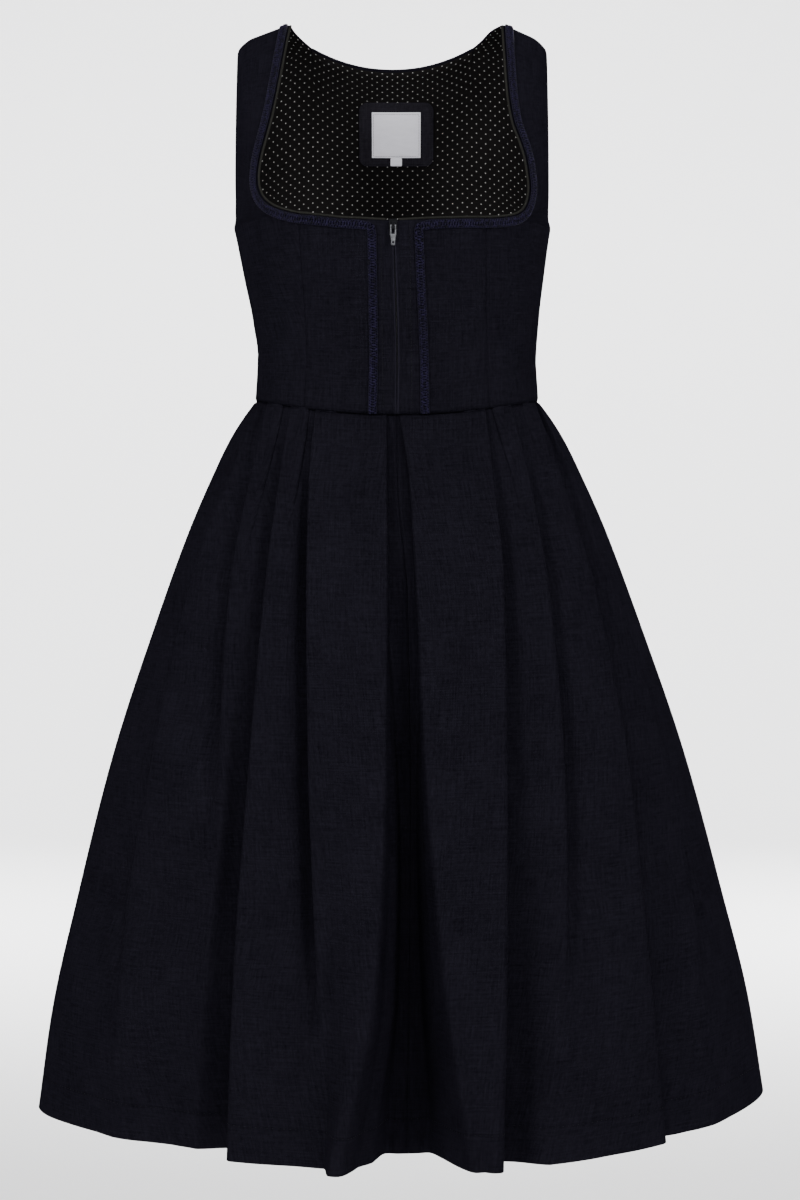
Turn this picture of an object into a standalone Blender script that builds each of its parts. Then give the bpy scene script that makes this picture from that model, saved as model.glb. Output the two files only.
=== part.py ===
"""Dirndl, filled out with no wearer: hollow bodice with straps, pleated skirt, front zip.

Frame: metres, +Z up, front faces -Y, origin midway between the tops of the two straps.
"""

import math

import bmesh
import bpy
import numpy as np

# ---------------------------------------------------------------- driving dimensions
CLOTH = 0.0014           # bodice wall
SKIRT_CLOTH = 0.0012     # skirt wall
LINING_CLOTH = 0.0010
SEAM_GAP = 0.0003        # between pieces that are sewn together
WAIST_Z = -0.363         # waist seam at the side seams
WAIST_DIP = 0.017        # how far it drops at the centre front
HEM_Z = -1.0455          # hem at the centre front
HEM_LIFT = 0.0060        # hem rise towards the side seams
HEM_TILT = 0.0170        # extra rise of the hem at its right corner
SHOULDER_IN = {"left": 0.0982, "right": 0.1063}   # inner ends of the shoulder seams
SHOULDER_OUT = 0.1485    # outer ends, and the armholes' edges
SHOULDER_SLOPE = 0.50
ZIP_LEAN = 0.0012        # the zip's top lies this far off the centre
SKIRT_SHIFT = 0.0045     # the skirt hangs this far to the right of the shoulders
LEFT_NARROWING = 0.022   # the hem's left half is narrower by this share

BRAID_WIDTH = 0.0085
BRAID_THICK = 0.0013
BRAID_EDGE = 0.0008      # bare strip between the piping and the braid
BRAID_LEG_X = {"left": (0.0186, 0.0226), "right": (0.0243, 0.0261)}  # top, waist
PIPING_RADIUS = 0.0011

ZIP_TAPE_WIDTH = 0.024
ZIP_SKIRT_SHARE = 0.29   # share of the skirt's length that the zip runs into
SLIDER = (0.0078, 0.0022, 0.0100)
BRIDGE = (0.0026, 0.0040, 0.0068)
BRIDGE_HOLE = (0.0024, 0.0028)
HINGE_DROP = 0.0063      # hinge below the slider's top
PULL_THICK = 0.0012
PULL_LENGTH = 0.0185
PULL_FRAME = (0.0063, 0.0082)
PULL_WINDOW = (0.0040, 0.0056)

PATCH = (0.0740, 0.0610, -0.0913)   # width, height, height of its middle
LABEL = (0.0485, 0.0440, -0.0914)
SIZE_TAB = (0.0110, 0.0076, -0.1175)
LABEL_CLOTH = 0.0010
LABEL_X = 0.0038

LAYER_PITCH = 0.0026     # between the layers of a pleat at the waist

# Bodice sections from the waist to the shoulder seam.
# share, height, half width, front depth, back depth, roundness, centre dip,
# shoulder slope, sideways lean
BODICE_ROWS = np.array([
    (0.00, WAIST_Z, 0.1350, 0.0830, 0.0800, 2.20, WAIST_DIP, 0.00, SKIRT_SHIFT),
    (0.15, -0.3226, 0.1330, 0.0860, 0.0810, 2.20, 0.0110, 0.00, SKIRT_SHIFT),
    (0.30, -0.2840, 0.1365, 0.0975, 0.0860, 2.20, 0.0055, 0.00, 0.0035),
    (0.45, -0.2460, 0.1426, 0.1110, 0.0920, 2.25, 0.0018, 0.00, 0.0018),
    (0.60, -0.2074, 0.1490, 0.1180, 0.0985, 2.35, 0.0000, 0.00, 0.0005),
    (0.68, -0.1850, 0.1530, 0.1180, 0.1020, 2.40, 0.0000, 0.10, 0.0000),
    (0.76, -0.1500, 0.1560, 0.1090, 0.1040, 2.50, 0.0000, 0.30, 0.0000),
    (0.84, -0.1050, 0.1580, 0.0910, 0.0980, 2.50, 0.0000, 0.60, 0.0000),
    (0.92, -0.0550, 0.1590, 0.0610, 0.0780, 2.50, 0.0000, 0.85, 0.0000),
    (0.97, -0.0200, 0.1590, 0.0330, 0.0480, 2.50, 0.0000, 0.97, 0.0000),
    (0.99, -0.0060, 0.1590, 0.0150, 0.0220, 2.50, 0.0000, 0.99, 0.0000),
    (1.00, 0.0000, 0.1590, 0.0000, 0.0000, 2.50, 0.0000, 1.00, 0.0000),
])

# Princess seams: share of the bodice's height, half distance between the seams.
FRONT_SEAM = ((0.00, 0.0875), (0.15, 0.0850), (0.30, 0.0850), (0.45, 0.0860), (0.57, 0.0868))
BACK_SEAM = ((0.00, 0.0600), (0.15, 0.0600), (0.30, 0.0630), (0.45, 0.0670), (0.57, 0.0705))
BODICE_SHARES = (0.0, 0.05, 0.10, 0.15, 0.20, 0.26, 0.32, 0.38, 0.45, 0.51, 0.57)

# Above them a row per station of the front neckline on each side: x, z.
FRONT_NECK = {
    "right": (
        (0.0870, -0.1998), (0.0990, -0.1985), (0.1100, -0.1962), (0.1180, -0.1928),
        (0.1233, -0.1875), (0.1265, -0.1795), (0.1280, -0.1690), (0.1270, -0.1560),
        (0.1245, -0.1400), (0.1200, -0.1250), (0.1130, -0.1050), (0.1095, -0.0820),
        (0.1080, -0.0600), (0.1072, -0.0400), (0.1066, -0.0200), (0.1063, -0.0080),
    ),
    "left": (
        (0.0870, -0.1955), (0.0960, -0.1930), (0.1040, -0.1900), (0.1110, -0.1862),
        (0.1175, -0.1808), (0.1220, -0.1740), (0.1247, -0.1645), (0.1247, -0.1530),
        (0.1228, -0.1390), (0.1195, -0.1250), (0.1145, -0.1050), (0.1100, -0.0820),
        (0.1065, -0.0600), (0.1035, -0.0400), (0.1005, -0.0200), (0.0988, -0.0080),
    ),
}
NECK_BOTTOM = {
    "right": ((0.0000, -0.2043), (0.0300, -0.2026), (0.0870, -0.1998)),
    "left": ((0.0000, -0.2043), (0.0480, -0.2014), (0.0870, -0.1955)),
}
# Heights of the armhole's edge at the same stations.
FRONT_ARMHOLE = (
    -0.2000, -0.1930, -0.1860, -0.1790, -0.1710, -0.1620, -0.1510, -0.1390,
    -0.1270, -0.1150, -0.1000, -0.0830, -0.0670, -0.0530, -0.0410, -0.0320,
)
BACK_NECK = (
    (0.0715, -0.2010), (0.0725, -0.1830), (0.0735, -0.1640), (0.0745, -0.1400),
    (0.0755, -0.1150), (0.0765, -0.0900), (0.0770, -0.0650), (0.0775, -0.0420),
    (0.0780, -0.0190), (0.0860, -0.0145), (0.0945, -0.0080),
)
BACK_ARMHOLE = (
    -0.2000, -0.1930, -0.1830, -0.1690, -0.1470, -0.1200, -0.0950, -0.0720,
    -0.0530, -0.0410, -0.0330,
)
CENTRE_COLUMNS = 5       # columns of a centre front panel
BACK_SEAM_STATIONS = 9   # stations of BACK_NECK that lie on the seam
BACK_NECK_DROP = 0.0135  # drop of the back neck between the seams

# Skirt sections: share of the length, half width, front depth, back depth, roundness.
SKIRT_ROWS = np.array([
    (0.000, 0.1350, 0.0830, 0.0800, 2.25),
    (0.025, 0.1474, 0.0960, 0.0915, 2.25),
    (0.055, 0.1600, 0.1090, 0.1040, 2.20),
    (0.100, 0.1750, 0.1250, 0.1190, 2.15),
    (0.180, 0.1990, 0.1500, 0.1430, 2.10),
    (0.310, 0.2317, 0.1835, 0.1760, 2.00),
    (0.500, 0.2750, 0.2280, 0.2180, 1.90),
    (0.700, 0.3107, 0.2650, 0.2530, 1.82),
    (0.860, 0.3365, 0.2900, 0.2760, 1.78),
    (1.000, 0.3510, 0.3060, 0.2900, 1.75),
])
SKIRT_LEVELS = (0.0, 0.03, 0.09, 0.18, 0.29, 0.41, 0.54, 0.68, 0.84, 1.0)
FOLD_LEVELS = (0.0, 0.10, 0.25, 0.50, 0.75, 1.0)
SEAM_X = (0.0, 0.001, 0.0105, 0.0150, 0.0170, 0.0180)   # centre seam, at FOLD_LEVELS

# A row per pleat, from the centre outwards.
# x of its edge at FOLD_LEVELS; tuck at waist and hem; depth of crest and of valley at
# the hem; first and last share of the length between which it stands.
FRONT_FOLDS = {
    "right": (
        ((0.0030, 0.0120, 0.0175, 0.0245, 0.0380, 0.0620), 0.020, -0.006, 0.000, 0.100, -1, 2),
        ((0.0830, 0.0900, 0.0980, 0.0990, 0.0975, 0.0925), 0.022, 0.006, -0.006, 0.034, -1, 2),
        ((0.1080, 0.1235, 0.1400, 0.1530, 0.1560, 0.1500), 0.020, 0.003, 0.006, 0.016, -1, 0.74),
        ((0.1310, 0.1540, 0.1830, 0.2155, 0.2320, 0.2480), 0.020, 0.004, 0.006, 0.024, -1, 2),
        ((0.1345, 0.1700, 0.2060, 0.2560, 0.2870, 0.3080), 0.006, 0.003, 0.010, 0.022, 0.30, 0.78),
    ),
    "left": (
        ((0.0095, 0.0090, 0.0080, 0.0080, 0.0135, 0.0420), 0.020, -0.014, -0.010, 0.100, -1, 2),
        ((0.0765, 0.0815, 0.0835, 0.0820, 0.0780, 0.0840), 0.022, 0.004, 0.020, 0.030, -1, 0.80),
        ((0.1000, 0.1100, 0.1230, 0.1390, 0.1542, 0.1640), 0.020, 0.012, 0.014, 0.064, -1, 2),
        ((0.1230, 0.1380, 0.1600, 0.1760, 0.2030, 0.2200), 0.020, 0.004, 0.040, 0.046, -1, 0.52),
        ((0.1340, 0.1640, 0.1980, 0.2380, 0.2700, 0.2900), 0.006, 0.004, 0.022, 0.040, 0.20, 0.80),
    ),
}
# The back, in the same columns, with the edges as shares of the half width.
BACK_FOLDS = {
    "right": ((0.10, 0.085), (0.37, 0.046), (0.62, 0.050), (0.84, 0.036)),
    "left": ((0.11, 0.085), (0.34, 0.050), (0.60, 0.044), (0.85, 0.040)),
}

COLOURS = {
    "bodice_cloth": (0.0105, 0.0103, 0.0155, 0.85, 0.0),
    "skirt_cloth": (0.0105, 0.0103, 0.0155, 0.85, 0.0),
    "lining_cloth": (0.0060, 0.0055, 0.0055, 0.75, 0.0),
    "braid": (0.0120, 0.0100, 0.0420, 0.80, 0.0),
    "piping": (0.0420, 0.0420, 0.0400, 0.80, 0.0),
    "zip_tape": (0.0080, 0.0080, 0.0120, 0.85, 0.0),
    "zip_metal": (0.3600, 0.3650, 0.3800, 0.35, 1.0),
    "patch_cloth": (0.0095, 0.0090, 0.0160, 0.80, 0.0),
    "label_cloth": (0.6200, 0.6100, 0.6400, 0.70, 0.0),
}


# ---------------------------------------------------------------- small helpers
def smooth(rows, share, column):
    """Value of a table's column at a share, through a curve with no overshoot."""
    xs = rows[:, 0]
    ys = rows[:, column]
    slopes = np.diff(ys) / np.diff(xs)
    tangents = np.zeros(len(xs))
    tangents[0] = slopes[0]
    tangents[-1] = slopes[-1]
    for i in range(1, len(xs) - 1):
        if slopes[i - 1] * slopes[i] > 0:
            tangents[i] = 2 * slopes[i - 1] * slopes[i] / (slopes[i - 1] + slopes[i])
    i = int(np.clip(np.searchsorted(xs, share, side="right") - 1, 0, len(xs) - 2))
    step = xs[i + 1] - xs[i]
    t = (share - xs[i]) / step
    return float(
        (2 * t**3 - 3 * t**2 + 1) * ys[i]
        + (t**3 - 2 * t**2 + t) * step * tangents[i]
        + (3 * t**2 - 2 * t**3) * ys[i + 1]
        + (t**3 - t**2) * step * tangents[i + 1]
    )


def ease(t):
    """Smooth step from 0 to 1."""
    t = min(1.0, max(0.0, t))
    return t * t * (3 - 2 * t)


def material(name):
    """A plain material of the table above."""
    red, green, blue, roughness, metallic = COLOURS[name]
    made = bpy.data.materials.get(name)
    if made:
        return made
    made = bpy.data.materials.new(name)
    made.use_nodes = True
    shader = made.node_tree.nodes["Principled BSDF"]
    shader.inputs["Base Color"].default_value = (red, green, blue, 1)
    shader.inputs["Roughness"].default_value = roughness
    shader.inputs["Metallic"].default_value = metallic
    return made


def add_object(name, data, look, parent=None):
    """Puts data in the garment's collection as a named object."""
    made = bpy.data.objects.new(name, data)
    garment.objects.link(made)
    data.materials.append(material(look))
    if parent:
        made.parent = parent
    return made


def sheet_object(name, grids, look, thick, even=True):
    """One cloth piece: grids of points joined along shared edges, with a wall."""
    shape = bmesh.new()
    for grid in grids:
        rows = [[shape.verts.new(point) for point in row] for row in grid]
        for lower, upper in zip(rows, rows[1:]):
            for i in range(len(lower) - 1):
                shape.faces.new((lower[i], lower[i + 1], upper[i + 1], upper[i]))
    if len(grids) > 1:
        bmesh.ops.remove_doubles(shape, verts=shape.verts, dist=0.00002)
    mesh = bpy.data.meshes.new(name)
    shape.to_mesh(mesh)
    shape.free()
    made = add_object(name, mesh, look)
    mesh.shade_smooth()
    wall = made.modifiers.new("wall", "SOLIDIFY")
    wall.thickness = thick
    wall.offset = 0.0
    wall.use_even_offset = even
    return made


def pull_in(grid, near=(), amount=SEAM_GAP / 2):
    """Moves the chosen edges of a grid inwards along the cloth, to leave a seam gap."""
    grid = np.array(grid, float)
    pairs = {
        "first_row": (grid[0], grid[1]),
        "last_row": (grid[-1], grid[-2]),
        "first_column": (grid[:, 0], grid[:, 1]),
        "last_column": (grid[:, -1], grid[:, -2]),
    }
    for edge in near:
        outer, inner = pairs[edge]
        way = inner - outer
        way /= np.linalg.norm(way, axis=1)[:, None]
        outer += way * amount
    return grid


# ---------------------------------------------------------------- bodice surface
def shoulder_drop(x):
    """Fall of the shoulder seam outwards from its inner end."""
    inner = SHOULDER_IN["right" if x > 0 else "left"]
    return -SHOULDER_SLOPE * max(0.0, abs(x) - inner)


def on_bodice(angle, share, back=False, out=0.0):
    """Point at an angle from the centre (quarter turn = side seam) and a height share."""
    width = smooth(BODICE_ROWS, share, 2)
    depth = smooth(BODICE_ROWS, share, 4 if back else 3)
    power = 2 / smooth(BODICE_ROWS, share, 5)
    sine = math.sin(abs(angle))
    cosine = max(0.0, math.cos(angle))
    x = math.copysign(width * sine**power, angle)
    y = depth * cosine**power * (1 if back else -1)
    z = smooth(BODICE_ROWS, share, 1)
    z -= smooth(BODICE_ROWS, share, 6) * cosine**2 * (0.3 if back else 1.0)
    z += smooth(BODICE_ROWS, share, 7) * shoulder_drop(x)
    point = np.array((x + smooth(BODICE_ROWS, share, 8), y, z))
    if out:
        point += outward(angle, share, back) * out
    return point


def outward(angle, share, back=False):
    """Unit direction away from the hollow."""
    step = 0.004
    high = min(0.996, share + step)
    low = max(0.0, high - 2 * step)
    limit = math.pi / 2 - 0.02
    angle = min(limit, max(-limit, angle))
    around = on_bodice(angle + step, share, back) - on_bodice(angle - step, share, back)
    up = on_bodice(angle, high, back) - on_bodice(angle, low, back)
    normal = np.cross(around, up) * (-1 if back else 1)
    return normal / np.linalg.norm(normal)


def place_of(x, z, back=False):
    """Angle and height share of the surface point that has this x and z."""
    low, high = 0.0, 1.0
    for _ in range(40):
        share = (low + high) / 2
        angle = angle_of(x, share)
        if on_bodice(angle, share, back)[2] < z:
            low = share
        else:
            high = share
    return angle_of(x, share), share


def angle_of(x, share):
    """Angle of the surface point at this x and height share."""
    width = smooth(BODICE_ROWS, share, 2)
    half_power = smooth(BODICE_ROWS, share, 5) / 2
    return math.copysign(math.asin(min(1.0, abs(x) / width) ** half_power), x)


def seam_x(seam, share):
    """Half distance between two princess seams at a height share."""
    return float(np.interp(share, [row[0] for row in seam], [row[1] for row in seam]))


def edge_places(side, back):
    """Places along a side panel's two long edges: seam and neck, side seam and armhole."""
    seam = BACK_SEAM if back else FRONT_SEAM
    neck = BACK_NECK if back else FRONT_NECK[side]
    armhole = BACK_ARMHOLE if back else FRONT_ARMHOLE
    inner = [(angle_of(seam_x(seam, share), share), share) for share in BODICE_SHARES]
    outer = [(math.pi / 2, share) for share in BODICE_SHARES]
    for (x, z), armhole_z in zip(neck, armhole):
        inner.append(place_of(x, z, back))
        outer.append(place_of(SHOULDER_OUT, armhole_z, back))
    start = len(BODICE_SHARES)
    outer[start] = (math.pi / 2, outer[start][1])
    inner.append((angle_of(SHOULDER_IN[side], 1.0), 1.0))
    outer.append((angle_of(SHOULDER_OUT, 1.0), 1.0))
    return inner, outer


def side_panel(side, back=False, out=0.0, columns=5):
    """Panel from the princess seam to the side seam, with its strap, seen from outside."""
    inner, outer = edge_places(side, back)
    sign = 1 if side == "right" else -1
    grid = []
    for (angle_in, share_in), (angle_out, share_out) in zip(inner, outer):
        row = []
        for i in range(columns + 1):
            t = i / columns
            angle = angle_in + (angle_out - angle_in) * t
            share = share_in + (share_out - share_in) * t
            row.append(on_bodice(sign * angle, share, back, out))
        grid.append(row if (side == "right") != back else row[::-1])
    return grid


def centre_front_panel(side, out=0.0, columns=CENTRE_COLUMNS):
    """Panel between the zip and the right or left princess seam."""
    sign = 1 if side == "right" else -1
    top_x = [x for x, _ in NECK_BOTTOM[side]]
    top_share = [place_of(x, z)[1] for x, z in NECK_BOTTOM[side]]
    grid = []
    for share in BODICE_SHARES + (None,):
        edge = seam_x(FRONT_SEAM, share) if share is not None else top_x[-1]
        row = []
        for i in range(columns + 1):
            x = edge * i / columns
            here = float(np.interp(x, top_x, top_share)) if share is None else share
            lean = ZIP_LEAN * min(1.0, here / top_share[0]) * (1 - i / columns)
            row.append(on_bodice(angle_of(sign * x + lean, here), here, False, out))
        grid.append(row)
    if sign < 0:
        grid = [row[::-1] for row in grid]
    return grid


def centre_back_panel(out=0.0, columns=8):
    """Panel between the two back princess seams, up to the back neck."""
    places = [(seam_x(BACK_SEAM, share), share) for share in BODICE_SHARES]
    for x, z in BACK_NECK[:BACK_SEAM_STATIONS]:
        places.append((x, place_of(x, z, True)[1]))
    seam_z = BACK_NECK[BACK_SEAM_STATIONS - 1][1]
    drop = places[-1][1] - place_of(0.0, seam_z - BACK_NECK_DROP, True)[1]
    grid = []
    for j, (edge, share) in enumerate(places):
        row = []
        for i in range(columns + 1):
            s = 2 * i / columns - 1
            here = share - drop * (j / (len(places) - 1)) ** 4 * (1 - abs(s) ** 2.6)
            row.append(on_bodice(angle_of(edge * s, here), here, True, out))
        grid.append(row)
    return grid


# ---------------------------------------------------------------- skirt surface
class Ring:
    """The skirt's outline at one level, measured along itself from the centre."""

    def __init__(self, level, back=False):
        self.level = level
        width = smooth(SKIRT_ROWS, level, 1)
        depth = smooth(SKIRT_ROWS, level, 3 if back else 2)
        power = 2 / smooth(SKIRT_ROWS, level, 4)
        # Even steps across a superellipse crowd at its ends, so they are drawn in there.
        turn = np.linspace(0, 1, 241)
        angle = np.pi / 2 * (turn - np.sin(2 * np.pi * turn) / (2 * np.pi))
        self.x = width * np.sin(angle) ** power
        self.y = depth * np.maximum(0.0, np.cos(angle)) ** power * (1 if back else -1)
        steps = np.hypot(np.diff(self.x), np.diff(self.y))
        self.s = np.concatenate([[0.0], np.cumsum(steps)])
        self.cosine = np.cos(angle)
        self.back = back
        self.length = self.s[-1]

    def along(self, x):
        """Distance from the centre to the point at this x."""
        return float(np.interp(x, self.x, self.s))

    def point(self, s, inward, side):
        """World point at distance s from the centre and this far inside the outline."""
        flip = 1 if s >= 0 else -1
        s = min(abs(s), self.length)
        x = np.interp(s, self.s, self.x)
        y = np.interp(s, self.s, self.y)
        step = 0.004
        ahead = min(self.length, s + step)
        behind = max(0.0, s - step)
        run = np.array((
            np.interp(ahead, self.s, self.x) - np.interp(behind, self.s, self.x),
            np.interp(ahead, self.s, self.y) - np.interp(behind, self.s, self.y),
        ))
        if s < step:
            run = np.array((1.0, run[1] * s / step / max(1e-6, np.hypot(*run))))
        if s > self.length - step:
            run = np.array((0.0, -1.0 if self.back else 1.0))
        run /= np.hypot(*run)
        normal = np.array((run[1], -run[0])) if not self.back else np.array((-run[1], run[0]))
        x = x - normal[0] * inward
        y = y - normal[1] * inward
        cosine = float(np.interp(s, self.s, self.cosine)) ** 2
        waist = WAIST_Z - WAIST_DIP * cosine * (0.3 if self.back else 1.0) - 0.0008
        world_x = side * flip * x
        if world_x < 0:
            world_x *= 1 - LEFT_NARROWING * self.level
        hem = HEM_Z + HEM_LIFT * (1 - cosine)
        hem += HEM_TILT * max(0.0, world_x / SKIRT_ROWS[-1, 1]) ** 4
        z = waist + (hem - waist) * self.level
        return (world_x + SKIRT_SHIFT, y, z)


def standing(level, first, last):
    """1 where a pleat stands, 0 where it has faded into the cloth."""
    return ease((level - first) / 0.12 + 0.5) * ease((last - level) / 0.16 + 0.5)


def fold_points(ring, fold, previous_s, next_s, centre=False):
    """Distances and depths of one pleat: panel edge, turn under, turn out again."""
    xs, tuck_waist, tuck_hem, crest_hem, valley_hem, first, last = fold
    level = ring.level
    edge = ring.along(float(np.interp(level, FOLD_LEVELS, xs)))
    room = max(0.002, edge - previous_s) if not centre else 0.05
    open_share = (1 - level) ** 2.2
    tuck = min(tuck_waist * open_share + tuck_hem * (1 - open_share), 0.70 * room)
    growth = level**1.4
    crest = crest_hem * growth
    valley = crest + 2 * LAYER_PITCH
    valley += max(0.0, valley_hem - crest_hem - 2 * LAYER_PITCH) * growth
    turn = min(0.0012 + 0.0085 * level**1.5, 0.16 * room)
    small = min(turn, max(tuck / 2 - 0.0002, -0.002))
    slack = 0.09 * min(1.0, max(0.0, (2 * turn - tuck) / (2 * turn)))
    offsets = [
        (-2.2 * turn, 0.0),
        (-turn, 0.0),
        (0.0, 0.25),
        (-small, 0.5 - slack),
        (-tuck + small, 0.5 + slack),
        (-tuck, 0.75),
        (-tuck + turn, 1.0),
    ]
    if centre:
        offsets = [(-s, d) for s, d in offsets[::-1]]
    else:
        offsets.append((0.004 + turn, 1.0))
    shown = standing(level, first, last)
    half_room = 0.42 * min(edge - previous_s, next_s - edge)
    spread = min(0.016, half_room)
    count = len(offsets)
    points = []
    for i, (s, depth) in enumerate(offsets):
        flat = spread * (2 * i / (count - 1) - 1)
        s = s * shown + flat * (1 - shown)
        depth = crest + (valley - crest) * depth * shown
        points.append((edge + s, depth))
    return points


def half_ring(level, side, back=False):
    """Distances and depths of one half of the skirt at one level, from the centre out."""
    ring = Ring(level, back)
    sign = 1 if side == "right" else -1
    if back:
        width = smooth(SKIRT_ROWS, level, 1)
        folds = []
        for i, (share, valley) in enumerate(BACK_FOLDS[side]):
            reach = (share + (0.02 if i else 0.06) * level) * 0.985
            xs = tuple(reach * width for _ in FOLD_LEVELS)
            folds.append((xs, 0.020, 0.004 if i else -0.012, 0.0, valley, -1, 2))
        start = 0.0
    else:
        folds = FRONT_FOLDS[side]
        start = sign * float(np.interp(level, FOLD_LEVELS, SEAM_X))
    edges = [ring.along(float(np.interp(level, FOLD_LEVELS, fold[0]))) for fold in folds]
    edges = [start] + edges + [ring.length]
    path = []
    for i, fold in enumerate(folds):
        points = fold_points(ring, fold, edges[i], edges[i + 2], centre=i == 0)
        if i == 0:
            floor = points[0][1]
            reach = points[0][0]
            path += [(start, floor), (start + (reach - start) * 0.5, floor)]
        else:
            path += between(path[-1], points[0])
        path += points
    path += between(path[-1], (ring.length, 0.0))
    path.append((ring.length, 0.0))
    return [ring.point(s, depth, sign) for s, depth in path]


def between(first, second, count=2):
    """Points of the panel that rises from one pleat's valley to the next one's edge."""
    made = []
    for i in range(1, count + 1):
        t = i / (count + 1)
        depth = first[1] + (second[1] - first[1]) * (0.5 * t + 0.5 * ease(t))
        made.append((first[0] + (second[0] - first[0]) * t, depth))
    return made


def skirt_half(side, back=False):
    """Grid of one half of the skirt, columns left to right as seen from outside."""
    rows = [half_ring(level, side, back) for level in reversed(SKIRT_LEVELS)]
    turned = (side == "left") != back
    return [row[::-1] if turned else row for row in rows]


# ---------------------------------------------------------------- trims
def neck_bottom(side, i):
    """Place of the front neckline at a column of the centre panel."""
    xs, zs = zip(*NECK_BOTTOM[side])
    x = xs[-1] * i / CENTRE_COLUMNS
    return place_of(x, float(np.interp(x, xs, zs)))


def neckline(side):
    """Places along the front neckline, from the shoulder to the zip."""
    sign = 1 if side == "right" else -1
    line = [(angle_of(SHOULDER_IN[side], 0.993), 0.993)]
    line += [place_of(x, z) for x, z in FRONT_NECK[side][::-1]]
    line += [neck_bottom(side, i) for i in range(CENTRE_COLUMNS - 1, 0, -1)]
    line.append(place_of(0.006, NECK_BOTTOM[side][0][1]))
    return [(sign * angle, share) for angle, share in line]


def strip_along(places, sign, near, far, out):
    """Two lines beside a path on the cloth, near and far from the opening."""
    centre = [on_bodice(angle, share, False, out) for angle, share in places]
    rows = []
    for i, (angle, share) in enumerate(places):
        ahead = centre[min(i + 1, len(centre) - 1)]
        behind = centre[max(i - 1, 0)]
        tangent = (ahead - behind) / np.linalg.norm(ahead - behind)
        beside = np.cross(outward(angle, share), tangent) * sign
        beside /= np.linalg.norm(beside)
        rows.append((centre[i] + beside * near, centre[i] + beside * far))
    return rows


def braid_grid(side):
    """The braid: beside the neckline, then turned down beside the zip."""
    sign = 1 if side == "right" else -1
    out = CLOTH / 2 + SEAM_GAP + BRAID_THICK / 2 + 0.0002
    near = BRAID_EDGE + PIPING_RADIUS * 0.5
    far = near + BRAID_WIDTH
    top_x, waist_x = BRAID_LEG_X[side]
    places = [p for p in neckline(side) if abs(on_bodice(*p)[0]) > top_x + 0.010]
    rows = strip_along(places, sign, near, far, out)
    # The mitred corner, then the leg down to the waist.
    top_share = place_of(0.0, NECK_BOTTOM["right"][0][1])[1]
    height = smooth(BODICE_ROWS, top_share, 1) - smooth(BODICE_ROWS, top_share - 0.02, 1)
    per_metre = 0.02 / height
    half = BRAID_WIDTH / 2
    corner_out = top_share - near * per_metre
    corner_in = top_share - far * per_metre
    rows.append((
        on_bodice(angle_of(sign * (top_x - half), corner_out), corner_out, False, out),
        on_bodice(angle_of(sign * (top_x + half), corner_in), corner_in, False, out),
    ))
    for share in BODICE_SHARES[::-1]:
        share = max(share, 0.002)
        x = waist_x + (top_x - waist_x) * share / top_share
        rows.append((
            on_bodice(angle_of(sign * (x - half), share), share, False, out),
            on_bodice(angle_of(sign * (x + half), share), share, False, out),
        ))
    grid = []
    for first, second in rows:
        middle = (first + second) / 2
        grid.append((first, middle, second) if sign > 0 else (second, middle, first))
    return grid


def piping_line(side):
    """Centre line of the piping, just off the neckline's cut edge."""
    sign = 1 if side == "right" else -1
    gap = PIPING_RADIUS + SEAM_GAP
    rows = strip_along(neckline(side), sign, -gap, 0.0, 0.0)
    return [first for first, _ in rows]


def poly_tube(name, points, radius, look):
    """A round cord through the points."""
    curve = bpy.data.curves.new(name, "CURVE")
    curve.dimensions = "3D"
    curve.bevel_depth = radius
    curve.bevel_resolution = 1
    curve.use_fill_caps = True
    spline = curve.splines.new("POLY")
    spline.points.add(len(points) - 1)
    for target, point in zip(spline.points, points):
        target.co = (*point, 1.0)
    return add_object(name, curve, look)


def zip_tape_grid():
    """The zip's tape behind the front edges, on down into the centre pleat."""
    top_share = place_of(0.0, NECK_BOTTOM["right"][0][1])[1]
    half = ZIP_TAPE_WIDTH / 2
    inside = CLOTH / 2 + SEAM_GAP + LINING_CLOTH / 2 + 0.0004
    skirt_inside = 2 * LAYER_PITCH + SKIRT_CLOTH / 2 + SEAM_GAP + LINING_CLOTH / 2 + 0.0004
    rows = []
    levels = [level for level in SKIRT_LEVELS if level <= ZIP_SKIRT_SHARE]
    for level in levels[::-1]:
        ring = Ring(level)
        folds = FRONT_FOLDS["right"][0]
        growth = level**1.4
        floor = 2 * LAYER_PITCH * (1 - growth) + folds[4] * growth
        deeper = floor - 2 * LAYER_PITCH
        middle = float(np.interp(level, FOLD_LEVELS, SEAM_X))
        row = []
        for t in (-1.0, -0.5, 0.5, 1.0):
            s = middle + t * half * (1 - 0.5 * level)
            side = 1 if s >= 0 else -1
            row.append(ring.point(abs(s), skirt_inside + deeper, side))
        rows.append(row)
    for share in BODICE_SHARES[1:] + (top_share - 0.012,):
        slope = max(0.0, 1 - share / 0.10)
        depth = inside + (skirt_inside - inside) * slope
        lean = ZIP_LEAN * share / top_share
        row = []
        for t in (-1.0, -0.5, 0.5, 1.0):
            angle = angle_of(lean + t * half, share)
            row.append(on_bodice(angle, share, False, -depth))
        rows.append(row)
    return rows


def box_mesh(size, centre, bevel=0.0):
    """A closed box, its long edges eased."""
    shape = bmesh.new()
    bmesh.ops.create_cube(shape, size=1.0)
    for vert in shape.verts:
        vert.co = [vert.co[i] * size[i] + centre[i] for i in range(3)]
    if bevel:
        bmesh.ops.bevel(
            shape, geom=shape.edges, offset=bevel, segments=2, profile=0.5, affect="EDGES"
        )
    mesh = bpy.data.meshes.new("box")
    shape.to_mesh(mesh)
    shape.free()
    return mesh


def cut(target, cutter, operation="DIFFERENCE"):
    """Boolean of a helper on an object; the helper stays in the cutters' collection."""
    cutter.hide_render = True
    cutter.display_type = "WIRE"
    change = target.modifiers.new(cutter.name, "BOOLEAN")
    change.operation = operation
    change.object = cutter
    change.solver = "EXACT"


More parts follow.
